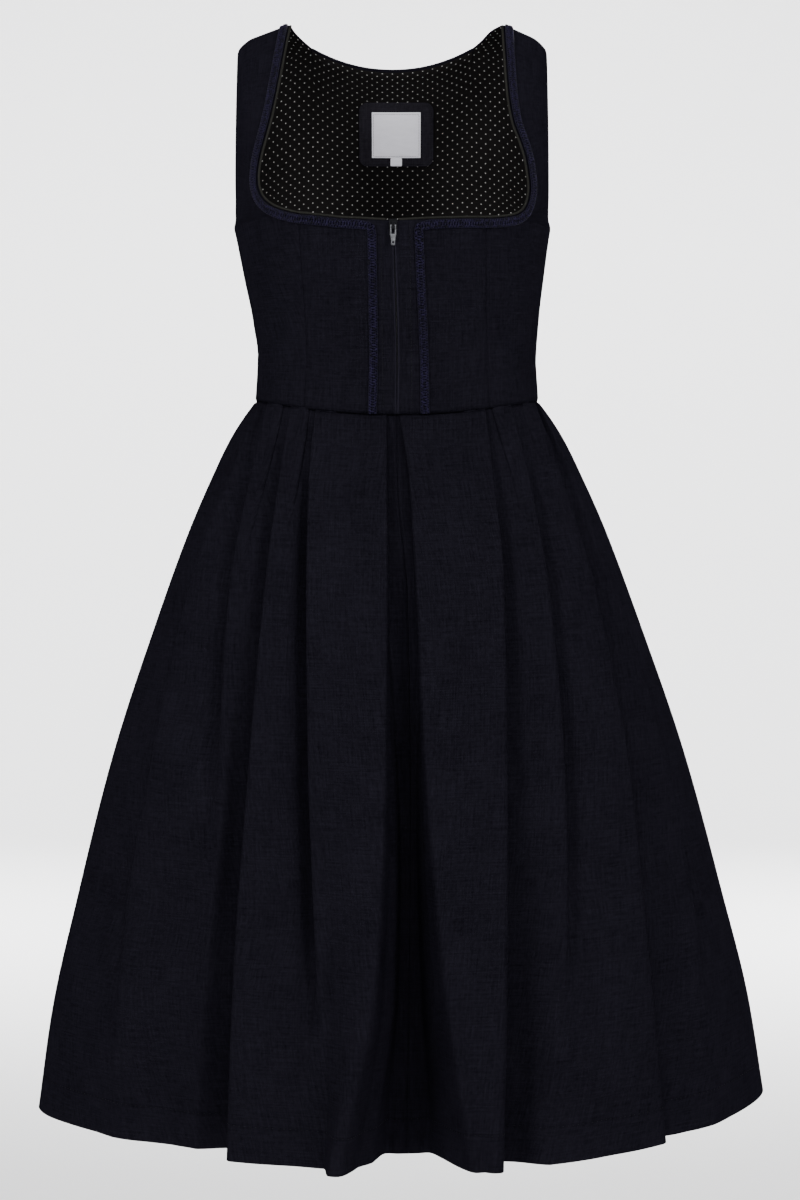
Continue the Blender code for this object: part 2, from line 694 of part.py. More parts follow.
def helper(name, mesh):
    """An object in the cutters' collection."""
    made = bpy.data.objects.new(name, mesh)
    cutters.objects.link(made)
    return made


def build_zip_hardware():
    """Slider with its bridge, and the pull tab that hangs from it."""
    top = on_bodice(*place_of(ZIP_LEAN, NECK_BOTTOM["right"][0][1]))
    back_y = top[1] - CLOTH / 2 - SEAM_GAP - 0.0004
    middle_x = ZIP_LEAN
    top_z = top[2] + 0.0015
    body_y = back_y - SLIDER[1] / 2
    slider = add_object(
        "zip_slider",
        box_mesh(SLIDER, (middle_x, body_y, top_z - SLIDER[2] / 2), 0.0006),
        "zip_metal",
    )
    hinge_z = top_z - HINGE_DROP
    front_y = back_y - SLIDER[1]
    bridge = helper(
        "slider_bridge",
        box_mesh(
            (BRIDGE[0], BRIDGE[1] + 0.0006, BRIDGE[2]),
            (middle_x, front_y - BRIDGE[1] / 2 + 0.0003, hinge_z),
            0.0004,
        ),
    )
    cut(slider, bridge, "UNION")
    hinge_y = front_y - 0.0005 - BRIDGE_HOLE[0] / 2
    hole = helper(
        "slider_bridge_hole",
        box_mesh((0.02, BRIDGE_HOLE[0], BRIDGE_HOLE[1]), (middle_x, hinge_y, hinge_z)),
    )
    cut(slider, hole)
    hinge = bpy.data.objects.new("zip_pull_hinge", None)
    hinge.location = (middle_x, hinge_y, hinge_z)
    garment.objects.link(hinge)
    width, frame_height = PULL_FRAME
    half_bar = PULL_THICK / 2
    outline = (
        (-width / 2 + 0.0005, half_bar),
        (width / 2 - 0.0005, half_bar),
        (width / 2, half_bar - 0.0005),
        (width / 2, -frame_height + 0.0008),
        (0.0024, -frame_height - 0.0006),
        (0.0020, -PULL_LENGTH + 0.0012),
        (0.0012, -PULL_LENGTH + half_bar),
        (-0.0012, -PULL_LENGTH + half_bar),
        (-0.0020, -PULL_LENGTH + 0.0012),
        (-0.0024, -frame_height - 0.0006),
        (-width / 2, -frame_height + 0.0008),
        (-width / 2, half_bar - 0.0005),
    )
    window_low = -half_bar - PULL_WINDOW[1]
    window = (
        (-PULL_WINDOW[0] / 2, -half_bar),
        (PULL_WINDOW[0] / 2, -half_bar),
        (PULL_WINDOW[0] / 2, window_low),
        (-PULL_WINDOW[0] / 2, window_low),
    )
    eye_z = -PULL_LENGTH + 0.0040
    eye = [
        (0.0009 * math.cos(i * math.pi / 4), eye_z + 0.0009 * math.sin(i * math.pi / 4))
        for i in range(8)
    ]
    curve = bpy.data.curves.new("zip_pull", "CURVE")
    curve.dimensions = "2D"
    curve.fill_mode = "BOTH"
    curve.extrude = PULL_THICK / 2
    for line in (outline, window, eye):
        spline = curve.splines.new("POLY")
        spline.use_cyclic_u = True
        spline.points.add(len(line) - 1)
        for target, (x, z) in zip(spline.points, line):
            target.co = (x, z, 0.0, 1.0)
    pull = add_object("zip_pull", curve, "zip_metal", parent=hinge)
    pull.rotation_euler = (math.pi / 2, 0.0, 0.0)


def inside_patch(name, size, depth, look, rounded=0.0):
    """A small piece of cloth on the inside of the back, made from the lining's points."""
    width, height, middle_z = size
    heights = np.linspace(-height / 2, height / 2, 7 if rounded else 5)
    if rounded:
        near = (rounded * 0.12, rounded * 0.45)
        heights = sorted(set(heights) | {s * (height / 2 - n) for n in near for s in (-1, 1)})
    grid = []
    for up in heights:
        left = max(0.0, rounded - (height / 2 - abs(up)))
        half = width / 2 - rounded + math.sqrt(max(0.0, rounded**2 - left**2))
        row = []
        for t in (1.0, 0.6, 0.2, -0.2, -0.6, -1.0):
            angle, share = place_of(LABEL_X + half * t, middle_z + up, True)
            row.append(on_bodice(angle, share, True, -depth))
        grid.append(row)
    sheet_object(name, [grid], look, LABEL_CLOTH)


# ---------------------------------------------------------------- build
for old in list(bpy.data.objects):
    bpy.data.objects.remove(old, do_unlink=True)

garment = bpy.data.collections.new("dirndl")
bpy.context.scene.collection.children.link(garment)
cutters = bpy.data.collections.new("cutters")
bpy.context.scene.collection.children.link(cutters)
cutters.hide_render = True

EDGES = ("first_row", "last_row", "first_column", "last_column")


def trimmed(grid, shoulder=False):
    """Seam gaps on all four edges, a wider one where two walls meet at an angle."""
    grid = pull_in(grid, EDGES)
    if shoulder:
        grid = pull_in(grid, ("last_row",), 0.0006)
    return grid


for side in ("right", "left"):
    sheet_object(
        f"bodice_centre_front_{side}", [trimmed(centre_front_panel(side))],
        "bodice_cloth", CLOTH,
    )
    for part, back in (("front", False), ("back", True)):
        grid = trimmed(side_panel(side, back), shoulder=True)
        sheet_object(f"bodice_side_{part}_{side}", [grid], "bodice_cloth", CLOTH)
    sheet_object(f"braid_{side}", [braid_grid(side)], "braid", BRAID_THICK)
    poly_tube(f"piping_{side}", piping_line(side), PIPING_RADIUS, "piping")
    for part, back in (("front", False), ("back", True)):
        grid = pull_in(skirt_half(side, back), ("first_column", "last_column"), SEAM_GAP)
        sheet_object(f"skirt_{part}_{side}", [grid], "skirt_cloth", SKIRT_CLOTH, even=False)

centre_back = [row[::-1] for row in centre_back_panel()]
sheet_object("bodice_centre_back", [trimmed(centre_back)], "bodice_cloth", CLOTH)

LINING_IN = CLOTH / 2 + SEAM_GAP + LINING_CLOTH / 2 + 0.0007
lining_grids = [[row[::-1] for row in centre_back_panel(out=-LINING_IN)]]
for side in ("right", "left"):
    armhole = "first_column" if side == "right" else "last_column"
    grid = side_panel(side, back=True, out=-LINING_IN)
    grid = pull_in(grid, ("last_row",), 0.0045)
    lining_grids.append(pull_in(grid, (armhole,), 0.0040))
sheet_object("lining_back", lining_grids, "lining_cloth", LINING_CLOTH)

sheet_object("zip_tape", [zip_tape_grid()], "zip_tape", LINING_CLOTH)
build_zip_hardware()

patch_in = LINING_IN + LINING_CLOTH / 2 + SEAM_GAP + LABEL_CLOTH / 2 + 0.0002
label_in = patch_in + LABEL_CLOTH + SEAM_GAP
inside_patch("back_patch", PATCH, patch_in, "patch_cloth", rounded=0.008)
inside_patch("label", LABEL, label_in, "label_cloth")
inside_patch("size_tab", SIZE_TAB, label_in, "label_cloth")
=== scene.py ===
"""Dirndl: fine cloth, trims, zip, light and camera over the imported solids.

Metres, +Z up, front towards -Y, origin midway between the tops of the two straps.
"""

import logging
import math
from dataclasses import dataclass, field
from enum import Enum
from typing import Callable, Optional, Sequence

import bpy
import numpy as np
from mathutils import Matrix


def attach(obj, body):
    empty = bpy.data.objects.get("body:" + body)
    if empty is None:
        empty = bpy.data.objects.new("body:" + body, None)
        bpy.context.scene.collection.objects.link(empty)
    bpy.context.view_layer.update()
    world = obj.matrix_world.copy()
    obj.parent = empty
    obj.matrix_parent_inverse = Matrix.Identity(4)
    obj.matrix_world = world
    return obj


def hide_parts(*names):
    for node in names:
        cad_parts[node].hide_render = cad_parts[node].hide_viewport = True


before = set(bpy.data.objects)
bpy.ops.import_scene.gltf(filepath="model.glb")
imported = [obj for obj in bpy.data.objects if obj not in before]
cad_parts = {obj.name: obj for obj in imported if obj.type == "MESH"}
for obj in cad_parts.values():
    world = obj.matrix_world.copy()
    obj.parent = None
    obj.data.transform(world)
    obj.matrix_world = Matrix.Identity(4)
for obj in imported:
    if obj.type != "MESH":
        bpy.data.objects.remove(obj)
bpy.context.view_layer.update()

LOG = logging.getLogger("dirndl")
Colour = tuple[float, float, float]
GARMENT = "garment"


class Side(Enum):
    """A half of the dress, as seen by somebody who faces its front."""

    LEFT = -1
    RIGHT = 1

    @property
    def word(self) -> str:
        """The side's name in lower case."""
        return self.name.lower()


class Face(Enum):
    """The front or the back of the dress."""

    FRONT = -1
    BACK = 1

    @property
    def word(self) -> str:
        """The face's name in lower case."""
        return self.name.lower()


# ------------------------------------------------------------------ lines and grids
class Curve:
    """A smooth line through a table's rows that never overshoots them."""

    def __init__(self, xs: Sequence[float], ys: Sequence[float]) -> None:
        """Works out the slope at each row.

        Args:
            xs: Rising positions of the rows.
            ys: Value at each position.
        """
        self.xs = np.asarray(xs, float)
        self.ys = np.asarray(ys, float)
        slopes = np.diff(self.ys) / np.diff(self.xs)
        product = slopes[:-1] * slopes[1:]
        inner = np.zeros(len(product))
        same = product > 0
        inner[same] = 2 * product[same] / (slopes[:-1] + slopes[1:])[same]
        self.tangents = np.concatenate([slopes[:1], inner, slopes[-1:]])

    def __call__(self, at: np.ndarray) -> np.ndarray:
        """Value of the line.

        Args:
            at: Positions along the table.

        Returns:
            The value at each position.
        """
        at = np.asarray(at, float)
        i = np.clip(np.searchsorted(self.xs, at, side="right") - 1, 0, len(self.xs) - 2)
        step = self.xs[i + 1] - self.xs[i]
        ends = (self.ys[i], self.ys[i + 1])
        slopes = (self.tangents[i], self.tangents[i + 1])
        return hermite((at - self.xs[i]) / step, ends, slopes, step)


def hermite(t: np.ndarray, ends: Sequence, slopes: Sequence, step: np.ndarray) -> np.ndarray:
    """Cubic curve between two values.

    Args:
        t: Shares of the way from the first to the second.
        ends: The two values.
        slopes: The slope at each.
        step: Length of the way.

    Returns:
        The value at each share.
    """
    line = (2 * t**3 - 3 * t**2 + 1) * ends[0] + (3 * t**2 - 2 * t**3) * ends[1]
    bend = (t**3 - 2 * t**2 + t) * slopes[0] + (t**3 - t**2) * slopes[1]
    return line + bend * step


def ease(t: np.ndarray) -> np.ndarray:
    """Smooth step from 0 to 1."""
    t = np.clip(t, 0.0, 1.0)
    return t * t * (3 - 2 * t)


def through(points: np.ndarray, counts: Sequence[int]) -> np.ndarray:
    """Smooth curve through points whose spacing may be very uneven.

    Args:
        points: Rows of coordinates.
        counts: New steps in each interval.

    Returns:
        The finer rows, the given points among them.
    """
    points = np.asarray(points, float)
    gaps = np.maximum(1e-6, np.linalg.norm(np.diff(points, axis=0), axis=1)) ** 0.5
    slopes = np.diff(points, axis=0) / gaps[:, None]
    before, after = gaps[:-1, None], gaps[1:, None]
    inner = (after * slopes[:-1] + before * slopes[1:]) / (before + after)
    tangents = np.vstack([slopes[:1], inner, slopes[-1:]])
    made = [points[:1]]
    for i, count in enumerate(counts):
        t = np.arange(1, count + 1)[:, None] / count
        made.append(hermite(t, points[i : i + 2], tangents[i : i + 2], gaps[i]))
    return np.vstack(made)


def crowded(count: int) -> np.ndarray:
    """Shares from 0 to 1 that lie closer together at both ends."""
    return 0.5 - 0.5 * np.cos(np.linspace(0, np.pi, count + 1))


def along(points: np.ndarray, axis: int) -> np.ndarray:
    """Distance walked along one axis of a grid of points."""
    steps = np.linalg.norm(np.diff(points, axis=axis), axis=-1)
    zero = np.zeros_like(np.take(steps, [0], axis=axis))
    return np.concatenate([zero, np.cumsum(steps, axis=axis)], axis=axis)


def unit(vectors: np.ndarray) -> np.ndarray:
    """The same directions, each one long."""
    return vectors / np.maximum(1e-12, np.linalg.norm(vectors, axis=-1))[..., None]


def sampled(values: np.ndarray, walked: np.ndarray, spots: np.ndarray) -> np.ndarray:
    """Rows of values at these spots, where walked gives each known row's distance."""
    return np.stack([np.interp(spots, walked, column) for column in values.T], axis=-1)


def grid_normals(points: np.ndarray) -> np.ndarray:
    """Unit normals of a grid, out of the side where its rows turn against the clock."""
    return unit(np.cross(np.gradient(points, axis=1), np.gradient(points, axis=0)))


# ------------------------------------------------------------------ node expressions
def arithmetic(operation: str, swapped: bool = False) -> Callable:
    """Makes one operator of Value.

    Args:
        operation: What its Math node works out.
        swapped: Whether the other term comes first.

    Returns:
        The operator.
    """

    def operator(value: "Value", other: "Value | float") -> "Value":
        """Adds the node."""
        terms = (other, value) if swapped else (value, other)
        return value.paint.math(operation, *terms)

    return operator


class Value:
    """A socket that takes part in Python arithmetic by adding Math nodes."""

    __add__ = arithmetic("ADD")
    __radd__ = arithmetic("ADD", swapped=True)
    __sub__ = arithmetic("SUBTRACT")
    __rsub__ = arithmetic("SUBTRACT", swapped=True)
    __mul__ = arithmetic("MULTIPLY")
    __rmul__ = arithmetic("MULTIPLY", swapped=True)
    __truediv__ = arithmetic("DIVIDE")
    __gt__ = arithmetic("GREATER_THAN")
    __lt__ = arithmetic("LESS_THAN")

    def __init__(self, paint: "Paint", socket: bpy.types.NodeSocket) -> None:
        """Wraps a socket of a material."""
        self.paint = paint
        self.socket = socket

    def __abs__(self) -> "Value":
        """Size without its sign."""
        return self.paint.math("ABSOLUTE", self)


class Paint:
    """One material, its shader and the nodes that lead to it."""

    def __init__(self, name: str) -> None:
        """Starts an empty material that holds one Principled shader.

        Args:
            name: The material's name.
        """
        self.material = bpy.data.materials.new(name)
        self.material.use_nodes = True
        self.tree = self.material.node_tree
        self.shader = self.tree.nodes["Principled BSDF"]

    def node(
        self, kind: str, sockets: dict, output: "int | str" = 0, **settings: str
    ) -> Value:
        """Adds a node.

        Args:
            kind: The node's type.
            sockets: Values or links of its inputs, by name or number.
            output: Name or number of the output that is used.
            settings: The node's own settings.

        Returns:
            The output.
        """
        made = self.tree.nodes.new(kind)
        for key, value in settings.items():
            setattr(made, key, value)
        for key, value in sockets.items():
            if isinstance(value, Value):
                self.tree.links.new(value.socket, made.inputs[key])
            else:
                made.inputs[key].default_value = value
        return Value(self, made.outputs[output])

    def math(self, operation: str, *terms: "Value | float") -> Value:
        """A Math node on sockets or numbers."""
        return self.node("ShaderNodeMath", dict(enumerate(terms)), operation=operation)

    def cloth_uv(self) -> tuple[Value, Value, Value]:
        """Distance across and along the cloth in metres, and both as one vector."""
        vector = self.node("ShaderNodeUVMap", {}, uv_map="cloth")
        across = self.node("ShaderNodeSeparateXYZ", {0: vector})
        return across, Value(self, across.socket.node.outputs[1]), vector

    def place(self) -> Value:
        """Object coordinates."""
        return self.node("ShaderNodeTexCoord", {}, "Object")

    def noise(self, vector: Value, size: Sequence[float], detail: float = 2.0) -> Value:
        """Noise with its own size of grain along each axis.

        Args:
            vector: Coordinates in metres.
            size: Size of a grain along each axis, in metres.
            detail: Octaves of finer noise.

        Returns:
            A number about 0.5.
        """
        scale = tuple(1 / value for value in size)
        mapped = self.node("ShaderNodeMapping", {"Vector": vector, "Scale": scale})
        sockets = {"Vector": mapped, "Scale": 1.0, "Detail": detail}
        return self.node("ShaderNodeTexNoise", sockets)

    def tint(self, colour: Colour, amount: Value) -> Value:
        """A colour made lighter or darker by a number."""
        sockets = {0: colour, "Scale": amount}
        return self.node("ShaderNodeVectorMath", sockets, operation="SCALE")

    def mix(self, share: Value, first: "Value | Colour", second: "Value | Colour") -> Value:
        """The first colour, or the second where the share is 1."""
        both = [c if isinstance(c, Value) else (*c, 1.0) for c in (first, second)]
        sockets = {0: share, 6: both[0], 7: both[1]}
        return self.node("ShaderNodeMix", sockets, 2, data_type="RGBA")

    def bump(self, height: Value, distance: float) -> Value:
        """A normal that follows a height from 0 to 1, with this relief in metres at 1."""
        sockets = {"Height": height, "Distance": distance, "Strength": 1.0}
        return self.node("ShaderNodeBump", sockets)

    def finish(self, constants: dict, links: dict) -> bpy.types.Material:
        """Sets the shader's sockets.

        Args:
            constants: Numbers and colours that are the same all over.
            links: What changes over the surface.

        Returns:
            The material.
        """
        for key, value in constants.items():
            self.shader.inputs[key].default_value = value
        for key, value in links.items():
            self.tree.links.new(value.socket, self.shader.inputs[key])
        return self.material


# ------------------------------------------------------------------ finishes
@dataclass(frozen=True)
class DotPrint:
    """Small dots on a staggered grid."""

    across: float = 0.0100
    down: float = 0.0092
    radius: float = 0.00062
    colour: Colour = (0.36, 0.355, 0.35)

    def mask(self, paint: Paint, u: Value, v: Value) -> Value:
        """1 on a dot and 0 beside it.

        Args:
            paint: The material.
            u: Distance across the cloth.
            v: Distance along it.

        Returns:
            The mask.
        """
        dots = []
        for shift in (100.0, 100.5):
            x, y = (
                (paint.math("FRACT", at / pitch + shift) - 0.5) * pitch
                for at, pitch in ((u, self.across), (v, self.down))
            )
            dots.append(paint.math("SQRT", x * x + y * y) < self.radius)
        return paint.math("MAXIMUM", *dots)


@dataclass(frozen=True)
class WovenCloth:
    """Matt plain-weave cloth with uneven threads."""

    name: str
    colour: Colour
    pitch: float = 0.00075
    relief: float = 0.00022
    roughness: float = 0.88
    uneven: float = 0.42
    dots: Optional[DotPrint] = None
    hem_seam: Optional[float] = None
    hem_seam_width: float = 0.0022
    # a painted highlight along a folded edge: its distance across the cloth, and its width
    highlight_edge: Optional[float] = None
    highlight_width: float = 0.0009

    def make(self) -> bpy.types.Material:
        """Builds the material."""
        paint = Paint(self.name)
        u, v, vector = paint.cloth_uv()
        across = paint.math("SINE", u * (math.pi / self.pitch))
        down = paint.math("SINE", v * (math.pi / self.pitch))
        over = (across * down) > 0.0
        weave = over * abs(across) + (1.0 - over) * abs(down)
        warp = paint.noise(vector, (self.pitch * 1.6, 0.030, 1.0))
        weft = paint.noise(vector, (0.026, self.pitch * 1.6, 1.0))
        slubs = warp + weft - 1.0
        cloudy = paint.noise(paint.place(), (0.045, 0.045, 0.060), 3.0) - 0.5
        flecks = paint.noise(vector, (0.0026, 0.0038, 1.0), 3.0) - 0.5
        light = weave * 0.30 + slubs * (self.uneven * 2.6) + cloudy * 0.45 + 0.85
        light = light + flecks * (self.uneven * 2.2)
        light = paint.math("MAXIMUM", light, 0.25)
        # Painted highlight: a bright line along the folded edge beside the zip, where the fold catches the
        # light.
        if self.highlight_edge is not None:
            near = 1.0 - abs(abs(u) - self.highlight_edge) / self.highlight_width
            light = light + paint.math("MAXIMUM", near, 0.0) * 1.5
        colour = paint.tint(self.colour, light)
        height = weave * 0.7 + slubs * 1.1
        if self.hem_seam is not None:
            near = 1.0 - abs(v - self.hem_seam) / self.hem_seam_width
            ditch = paint.math("MAXIMUM", near, 0.0)
            height = height - ditch * 0.9
            # Painted shade: the hem seam's groove is darkened in colour, besides being sunk by the bump.
            colour = paint.mix(ditch * 0.16, colour, (0.0, 0.0, 0.0))
        if self.dots is not None:
            mask = self.dots.mask(paint, u, v)
            colour = paint.mix(mask * 0.92, colour, self.dots.colour)
            height = height + mask * 0.4
        return paint.finish(
            {"Specular IOR Level": 0.0},
            {
                "Base Color": colour,
                "Roughness": slubs * 0.20 + cloudy * 0.06 + self.roughness,
                "Normal": paint.bump(height, self.relief),
            },
        )


@dataclass(frozen=True)
class TwistedYarn:
    """Yarn whose ply runs slantwise round it."""

    name: str
    colour: Colour
    pale: Colour
    ply: float = 0.0007
    roughness: float = 0.70
    sheen: float = 0.02
    fleck: float = 0.0

    def make(self) -> bpy.types.Material:
        """Builds the material."""
        paint = Paint(self.name)
        u, v, vector = paint.cloth_uv()
        twist = paint.math("SINE", (u * 1.4 + v) * (2 * math.pi / self.ply)) * 0.5 + 0.5
        fuzz = paint.noise(paint.place(), (0.0009, 0.0009, 0.0009), 3.0) - 0.5
        worn = paint.noise(paint.place(), (0.012, 0.012, 0.016), 2.0) - 0.5
        bits = paint.noise(paint.place(), (0.0021, 0.0021, 0.0021), 2.0) - 0.5
        share = twist * 0.45 + fuzz * 0.9 + worn * 0.5 + bits * self.fleck + 0.15
        share = paint.math("MAXIMUM", share, 0.0)
        colour = paint.mix(paint.math("MINIMUM", share, 1.0), self.colour, self.pale)
        return paint.finish(
            {
                "Sheen Weight": self.sheen,
                "Sheen Roughness": 0.35,
                "Sheen Tint": (0.7, 0.7, 1.0, 1.0),
                "Specular IOR Level": 0.12,
            },
            {
                "Base Color": colour,
                "Roughness": fuzz * 0.2 + self.roughness,
                "Normal": paint.bump(twist + fuzz, 0.00016),
            },
        )


@dataclass(frozen=True)
class LabelSatin:
    """Bright woven satin with fine lengthwise floats."""

    name: str
    colour: Colour

    def make(self) -> bpy.types.Material:
        """Builds the material."""
        paint = Paint(self.name)
        u, v, vector = paint.cloth_uv()
        floats = paint.math("SINE", u * (2 * math.pi / 0.00032)) * 0.5 + 0.5
        picks = paint.math("SINE", v * (2 * math.pi / 0.0009)) * 0.5 + 0.5
        drift = paint.noise(vector, (0.012, 0.004, 1.0), 2.0) - 0.5
        light = floats * 0.08 + picks * 0.05 + drift * 0.16 + 0.88
        return paint.finish(
            {"Sheen Weight": 0.1, "Specular IOR Level": 0.4, "Anisotropic": 0.4},
            {
                "Base Color": paint.tint(self.colour, light),
                "Roughness": drift * 0.3 + 0.48,
                "Normal": paint.bump(floats * 0.5 + picks, 0.00006),
            },
        )


@dataclass(frozen=True)
class ZipFinish:
    """Cast zip metal, faintly brushed and stained, or the dark nylon of the chain."""

    name: str
    colour: Colour
    roughness: float = 0.34
    metallic: float = 1.0

    def make(self) -> bpy.types.Material:
        """Builds the material."""
        paint = Paint(self.name)
        place = paint.place()
        grain = paint.noise(place, (0.00020, 0.00020, 0.0030), 3.0) - 0.5
        stain = paint.noise(place, (0.0016, 0.0016, 0.0016), 3.0) - 0.5
        light = grain * 0.6 + stain * 1.6 + 0.95
        return paint.finish(
            {"Metallic": self.metallic, "Specular IOR Level": 0.3},
            {
                "Base Color": paint.tint(self.colour, light),
                "Roughness": grain * 0.25 + stain * 0.35 + self.roughness,
                "Normal": paint.bump(grain + stain * 0.6, 0.00004),
            },
        )


@dataclass(frozen=True)
class StudioPaper:
    """Pale matt floor and backdrop."""

    name: str
    colour: Colour

    def make(self) -> bpy.types.Material:
        """Builds the material."""
        paint = Paint(self.name)
        drift = paint.noise(paint.place(), (0.8, 0.8, 0.8), 2.0) - 0.5
        return paint.finish(
            {"Roughness": 0.9, "Specular IOR Level": 0.1},
            {"Base Color": paint.tint(self.colour, drift * 0.02 + 1.0)},
        )


class Wardrobe:
    """Every finish of the dress, made once."""

    def __init__(self) -> None:
        """Makes the materials."""
        navy = (0.0058, 0.0054, 0.0082)
        self.bodice = WovenCloth("navy_cloth_bodice", navy, pitch=0.00070).make()
        # The placket's cloth carries a painted highlight along its folded edge beside the zip.
        self.placket = WovenCloth(
            "navy_cloth_placket", navy, pitch=0.00070, highlight_edge=0.0013
        ).make()
        self.skirt = WovenCloth("navy_cloth_skirt", navy, hem_seam=SkirtForm.hem_seam).make()
        self.lining = WovenCloth(
            "dotted_lining", (0.0060, 0.0055, 0.0055), pitch=0.00045, relief=0.00008,
            roughness=0.80, uneven=0.20, dots=DotPrint(),
        ).make()
        self.patch = WovenCloth(
            "navy_patch", (0.0140, 0.0128, 0.0170), pitch=0.00055, relief=0.00012
        ).make()
        self.tape = WovenCloth(
            "zip_tape", (0.0036, 0.0036, 0.0052), pitch=0.00050, relief=0.00012
        ).make()
        self.piping = WovenCloth(
            "grey_piping", (0.0145, 0.0143, 0.0130), pitch=0.00050, relief=0.00014
        ).make()
        self.braid = TwistedYarn(
            "indigo_gimp", (0.0009, 0.0005, 0.0030), (0.0152, 0.0110, 0.0400), fleck=3.6
        ).make()
        # A darker copy of the gimp yarn for the straight cords that lie under the zigzag: painted shade.
        self.braid_dark = TwistedYarn(
            "indigo_filler_shaded", (0.0008, 0.0005, 0.0028), (0.0078, 0.0056, 0.0220), fleck=2.2
        ).make()
        self.braid_ground = WovenCloth(
            "indigo_ground", (0.0015, 0.0011, 0.0060), pitch=0.00060, relief=0.00016
        ).make()
        self.thread = TwistedYarn(
            "navy_thread", (0.0028, 0.0028, 0.0044), (0.0085, 0.0085, 0.0110), ply=0.0005
        ).make()
        self.pale_thread = TwistedYarn(
            "white_thread", (0.26, 0.25, 0.27), (0.50, 0.49, 0.52), ply=0.0005
        ).make()
        self.label = LabelSatin("bare_label", (0.79, 0.78, 0.85)).make()
        self.metal = ZipFinish("zip_metal", (0.105, 0.107, 0.115), 0.42).make()
        self.dark_metal = ZipFinish("zip_slider_metal", (0.0085, 0.0087, 0.0100), 0.50).make()
        self.coil = ZipFinish("zip_coil", (0.0045, 0.0045, 0.0065), 0.5, 0.0).make()


# ------------------------------------------------------------------ pieces
def register(piece: bpy.types.Object, body: str, nodes: Sequence[str] = ()) -> None:
    """Says which body a piece rides on, and the solids it stands for.

    Args:
        piece: The finished piece.
        body: The body's name.
        nodes: Solids that it replaces.
    """
    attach(piece, body)
    if nodes:
        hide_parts(*nodes)
    faces = sum(len(face.vertices) - 2 for face in piece.data.polygons)
    LOG.info("%s: %d triangles", piece.name, faces)


def mesh_object(
    name: str, points: np.ndarray, faces: list, uv: Optional[np.ndarray] = None
) -> bpy.types.Object:
    """A mesh from points and faces, with distances on the cloth as its UV map.

    Args:
        name: The object's name.
        points: Corner places, one row each.
        faces: Each face's corner numbers.
        uv: Metres across and along the cloth at each corner.

    Returns:
        The object, in the scene.
    """
    mesh = bpy.data.meshes.new(name)
    mesh.from_pydata(points.tolist(), [], faces)
    if uv is not None:
        layer = mesh.uv_layers.new(name="cloth")
        corners = np.empty(len(mesh.loops), np.int32)
        mesh.loops.foreach_get("vertex_index", corners)
        layer.data.foreach_set("uv", uv[corners].astype(np.float32).ravel())
    mesh.shade_smooth()
    made = bpy.data.objects.new(name, mesh)
    bpy.context.scene.collection.objects.link(made)
    return made


def apply_modifiers(piece: bpy.types.Object) -> None:
    """Applies every modifier of a piece in order."""
    bpy.ops.object.select_all(action="DESELECT")
    bpy.context.view_layer.objects.active = piece
    piece.select_set(True)
    for change in list(piece.modifiers):
        bpy.ops.object.modifier_apply(modifier=change.name)
    piece.select_set(False)


def grid_faces(rows: int, columns: int, start: int = 0, closed: bool = False) -> list:
    """Quads of a grid of points.

    Args:
        rows: Rows of points.
        columns: Points in a row.
        start: Number of the first point.
        closed: Whether the last column joins the first.

    Returns:
        Corner numbers, four a row.
    """
    numbers = np.arange(rows * columns).reshape(rows, columns) + start
    if closed:
        numbers = np.concatenate([numbers, numbers[:, :1]], axis=1)
    low, high = numbers[:-1], numbers[1:]
    quads = np.stack([low[:, :-1], low[:, 1:], high[:, 1:], high[:, :-1]], axis=-1)
    return quads.reshape(-1, 4).tolist()


@dataclass
class Sheet:
    """One piece of cloth: grids of points, given a wall."""

    name: str
    grids: list
    uvs: list
    outside: bpy.types.Material
    inside: Optional[bpy.types.Material] = None
    thick: float = 0.0014
    weld: float = 0.00002

    def build(self) -> bpy.types.Object:
        """Joins the grids, and adds the wall and its two faces' materials.

        Returns:
            The finished piece.
        """
        faces, start = [], 0
        for grid in self.grids:
            rows, columns = grid.shape[:2]
            faces += grid_faces(rows, columns, start)
            start += rows * columns
        points = np.vstack([grid.reshape(-1, 3) for grid in self.grids])
        uv = np.vstack([part.reshape(-1, 2) for part in self.uvs])
        piece = mesh_object(self.name, points, faces, uv)
        piece.data.materials.append(self.outside)
        piece.data.materials.append(self.inside or self.outside)
        if len(self.grids) > 1:
            joined = piece.modifiers.new("joined", "WELD")
            joined.merge_threshold = self.weld
        wall = piece.modifiers.new("wall", "SOLIDIFY")
        wall.thickness = self.thick
        wall.offset = 0.0
        wall.use_even_offset = False
        wall.material_offset = 1
        apply_modifiers(piece)
        return piece


def tubes(
    name: str, lines: Sequence[np.ndarray], radius: float, sides: int,
    look: bpy.types.Material, ups: Sequence[np.ndarray],
) -> bpy.types.Object:
    """Round yarns along lines, closed at both ends, as one piece.

    Args:
        name: The piece's name.
        lines: Points of each yarn's middle.
        radius: The yarns' radius.
        sides: Faces round a yarn.
        look: Their material.
        ups: For each yarn, the direction that its seam keeps to.

    Returns:
        The finished piece.
    """
    points, uvs, faces, start = [], [], [], 0
    for line, up in zip(lines, ups):
        rings, uv = tube_points(line, radius, sides, up)
        last = start + len(rings) - sides
        faces += grid_faces(len(line), sides, start, closed=True)
        faces.append(list(range(start, start + sides))[::-1])
        faces.append(list(range(last, last + sides)))
        points.append(rings)
        uvs.append(uv)
        start += len(rings)
    piece = mesh_object(name, np.vstack(points), faces, np.vstack(uvs))
    piece.data.materials.append(look)
    return piece


